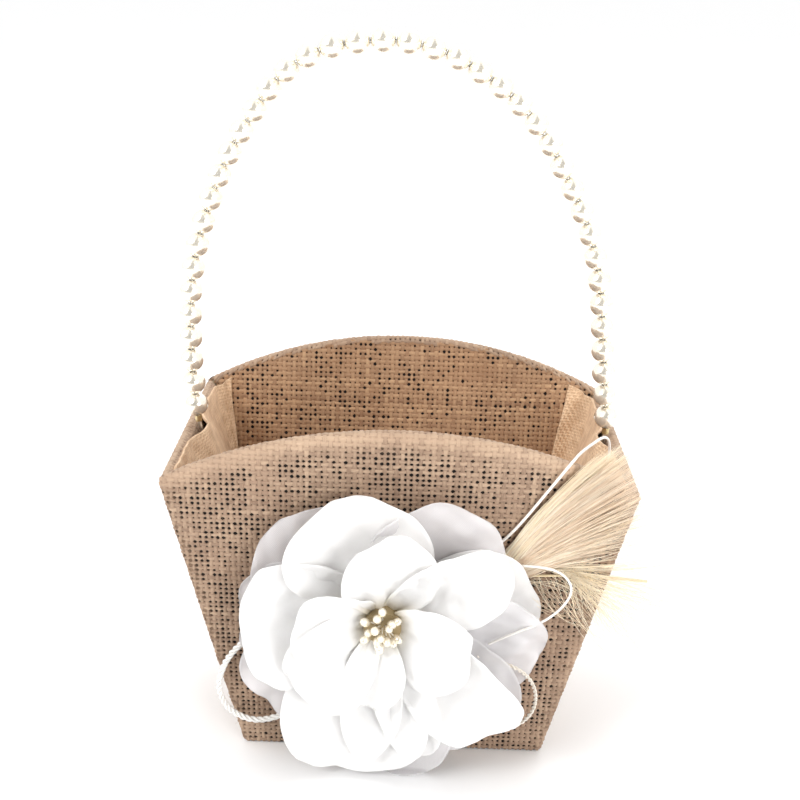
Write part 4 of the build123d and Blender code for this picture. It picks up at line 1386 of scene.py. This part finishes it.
# %% Filling petals
FILLING_PETALS = (
    ("right", (8, 51, 23, 3.4, 7, -3, 0.12, 0.5, 2)),
    ("lower", (264, 50, 11, 7.6, 22, 2, 0.75, 1.3, 6)),
    ("middle", (262, 27, 11, 10.6, 40, -4, 0.8, 0.9, 6)))
for i, (place, row) in enumerate(FILLING_PETALS, 1):
    petal(place + "_filling_petal", None, 400 + i, *row, chiffon, "chiffon", 0.2,
          rows=34, columns=33, wrinkle=0.3)

# %% [markdown]
# Behind the petals is a felt disc that is glued to the wall, and in the middle a short
# bound stem. Both are mostly hidden. Their shapes in the frame are right, so they keep
# them and only get a cloth finish. The stem's dark gold-brown is painted shade, the
# shade that falls between the stamens.

# %% Felt and stem
finish_nodes(felt_finish, "flower_felt")
finish_nodes(stem_shade_finish, "flower_core")

# %% [markdown]
# ### Stamens
# A cluster of small pearly drops on short threads fills the middle. The frame has eleven
# round beads on eleven wires. Here each bead is a longer drop that points the way its
# thread goes, and five more stand between them, placed by the same tree as the pearls.

# %% Stamens
# how many, how far out, how high
STAMEN_RINGS = ((1, 0.0, 19.5), (4, 2.8, 19.0), (5, 4.4, 17.6), (6, 5.8, 16.4))
ROOT_SHARE, ROOT_HEIGHT = 0.35, 12.6  # where a thread starts: this share as far out
CLUSTER_STRETCH, CLUSTER_RISE = 1.3, 1.4  # the cluster is a little taller than it is wide
TIP_SCATTER = 0.35
DROP_R, DROP_HALF = 1.35, 2.3
tips, roots = [], []
for count, radius, height in STAMEN_RINGS:
    for i in range(count):
        way = 2 * math.pi / count * (i + 0.5)
        tips.append((radius * math.cos(way), radius * math.sin(way), height))
        roots.append((ROOT_SHARE * radius * math.cos(way), ROOT_SHARE * radius * math.sin(way),
                      ROOT_HEIGHT))
tips, roots = np.array(tips), np.array(roots)
tips[:, 1] = tips[:, 1] * CLUSTER_STRETCH + CLUSTER_RISE
lean = tips - roots
lean_world = on_flower(*tips.T) - on_flower(*roots.T)
lean_world /= np.linalg.norm(lean_world, axis=1)[:, None]
drop = [(DROP_R * math.sin(a), DROP_HALF * math.cos(a) * (1.0 if a > math.pi / 2 else 0.85))
        for a in np.linspace(math.pi - 0.02, 0.02, 13)]
tips_jitter = np.random.default_rng(5).normal(0, TIP_SCATTER, tips.shape)
holder = points_with("stamen_points", on_flower(*(tips + tips_jitter).T) * MM, ahead=lean_world,
                     size=np.ones((len(tips), 3)))
repeat_shape("stamen_drops", holder, lathe("stamen_drop", drop, 16), stamen_pearl, 8, 0.1, FULL_TURN,
             "basket", ["stamen_beads"])
thread_length = np.linalg.norm(lean, axis=1) * MM
thread = [(0.25, 0.0), (0.25, 1.0 / MM), (0.01, 1.0 / MM), (0.01, 0.0)]
size = np.stack([np.ones(len(tips)), np.ones(len(tips)), thread_length], axis=1)
holder = points_with("thread_points", on_flower(*roots.T) * MM, ahead=lean_world, size=size)
repeat_shape("stamen_threads", holder, lathe("stamen_thread", thread[::-1], 8), white_wire, 9, 0.0,
             FULL_TURN, "basket", ["stamen_wires"])

# %% [markdown]
# ### Feathers
# Two stripped feathers are bound in behind the flower. The upper one is a thick brush of
# straw-coloured barbs, close together like combed hair, with a cream edge. The lower one
# is loose: long white barbs that spread and droop. A barb is one thin, bent, tapered
# strip, and the node tree repeats it hundreds of times. Each copy takes its place, its
# direction, its length and its tone from its own point.

# %% Barbs
def barb_mesh(name, width, bow, segments):
    """A tapered three-sided strand along Z, one metre long, bowed towards X."""
    z = np.linspace(0, 1, segments + 1)
    bend = bow * np.sin(z * math.pi * 0.9)
    thick = width * (1 - z ** 2.2 * 0.93)
    around = np.array([0, 2.2, 4.1, 0])
    ring = np.stack([np.cos(around), 0.55 * np.sin(around)], -1)
    points = np.zeros((segments + 1, 4, 3))
    points[:, :, :2] = ring[None] * thick[:, None, None] / 2
    points[:, :, 0] += bend[:, None] / MM
    points[:, :, 2] = z[:, None] / MM
    return cloth_mesh(name, points.reshape(-1, 3), grid_faces(segments + 1, 4)[:, ::-1])


def brush(name, seed, count, starts, ends, lift, width, bow, segments, finish, node,
          spin=FULL_TURN, scatter=1.0):
    """Barbs from places along one line towards places along another, in flower millimetres."""
    rng = np.random.default_rng(seed)
    share = rng.uniform(0, 1, count)
    where = np.clip(share + rng.normal(0, 0.07, count), 0, 1)
    starts, ends = np.array(starts, float), np.array(ends, float)
    knots_a = np.linspace(0, 1, len(starts))
    knots_b = np.linspace(0, 1, len(ends))
    first = np.stack([np.interp(where, knots_a, starts[:, k]) for k in range(3)], 1)
    last = np.stack([np.interp(share, knots_b, ends[:, k]) for k in range(3)], 1)
    along = rng.uniform(0.0, 0.25, count)[:, None]
    first = first + (last - first) * along * 0.6
    last = first + (last - first) * rng.uniform(0.78, 1.03, count)[:, None]
    first += rng.normal(0, 0.35, first.shape)
    last += rng.normal(0, 1.0, last.shape) * np.array((1, 1, 0.8)) * scatter
    first[:, 2] = np.maximum(first[:, 2], 0.9)
    last[:, 2] = np.maximum(last[:, 2], lift)
    a, b = on_flower(*first.T), on_flower(*last.T)
    run = b - a
    length = np.linalg.norm(run, axis=1)
    size = np.stack([np.ones(count), np.ones(count), length * MM], axis=1)
    holder = points_with(name + "_points", a * MM, ahead=run / length[:, None], size=size,
                         tone=rng.uniform(0, 1, count))
    return repeat_shape(name, holder, barb_mesh(name + "_barb", width, bow, segments), finish, seed,
                        0.06, spin, "basket", [node] if node else [])


brush("straw_brush", 41, 900, [(36, 18.5, 1.2), (43, 13.5, 2.6)],
      [(69, 63, 2.4), (76.5, 60, 3.4), (79.5, 50, 4.0), (79.5, 38, 4.2), (71, 24, 3.6)], 1.2,
      0.42, -0.0021, 8, feather_straw, "upper_vane", spin=0.6)
brush("cream_edge", 42, 300, [(36, 19, 1.4), (40, 17.5, 2.2)],
      [(65, 58.5, 2.4), (70, 63, 2.6), (75.5, 61.5, 3.0)], 1.2, 0.36, -0.0022, 8, feather_white, None,
      spin=0.4, scatter=0.7)
brush("loose_barbs", 43, 210, [(42, 14, 1.8), (60, 22, 3.0)],
      [(80, 55, 3.0), (97, 44, 5.0), (103, 20, 6.0), (102, -2, 5.0), (86, -14, 4.0), (68, -8, 3.0)],
      1.4, 0.22, 0.0035, 9, feather_white, "lower_vane", scatter=2.6)
brush("drooping_barbs", 44, 45, [(40, 12, 1.8), (56, 17, 3.0)],
      [(66, 4, 2.4), (72, -10, 3.4), (92, -24, 3.6)], 1.4, 0.18, 0.005, 9, feather_white, None,
      scatter=2.2)
finish_nodes(quill_finish, "upper_quill", "lower_quill")
finish_nodes(binding_finish, "feather_binding")

# %% [markdown]
# ### Loose fibres
# Jute is hairy. A few hundred fine fibres stand up from the burlap, and catch the light
# at the basket's edges. They are one more use of the same tree: points scattered over
# the walls, with a short bowed strand on each. None grows close to the table, where it
# would poke through.

# %% Fibres
FIBRES_FROM, FIBRES_TO = 5.5, 118     # heights up the slope between which they grow
FIBRE_LENGTHS = (1.5, 4.2)


def fibres(name, wall, seed, count):
    rng = np.random.default_rng(seed)
    t = rng.uniform(FIBRES_FROM, FIBRES_TO, count)
    s = rng.uniform(-1, 1, count) * wall.half(t)
    keep = t < wall.top(s) + 2
    s, t = s[keep], t[keep]
    root = wall.place(s, t, np.full(s.shape, 0.1))
    lie = rng.normal(0, 1, (len(s), 3))
    lie = lie - (lie @ wall.normal)[:, None] * wall.normal
    ahead = lie / np.linalg.norm(lie, axis=1)[:, None] + wall.normal * rng.uniform(
        0.15, 0.7, len(s))[:, None]
    ahead /= np.linalg.norm(ahead, axis=1)[:, None]
    length = rng.uniform(*FIBRE_LENGTHS, len(s)) * MM
    size = np.stack([np.ones(len(s)), np.ones(len(s)), length], axis=1)
    holder = points_with(name + "_points", root * MM, ahead=ahead, size=size,
                         tone=rng.uniform(0.5, 1, len(s)))
    return repeat_shape(name, holder, barb_mesh(name + "_hair", 0.07, 0.0005, 4), burlap_thread,
                        seed, 0.2, FULL_TURN, "basket")


for seed, (name, wall) in enumerate((("front", front_wall), ("back", back_wall),
                                     ("left", left_wall), ("right", right_wall)), 51):
    fibres(name + "_fibres", wall, seed, 420)
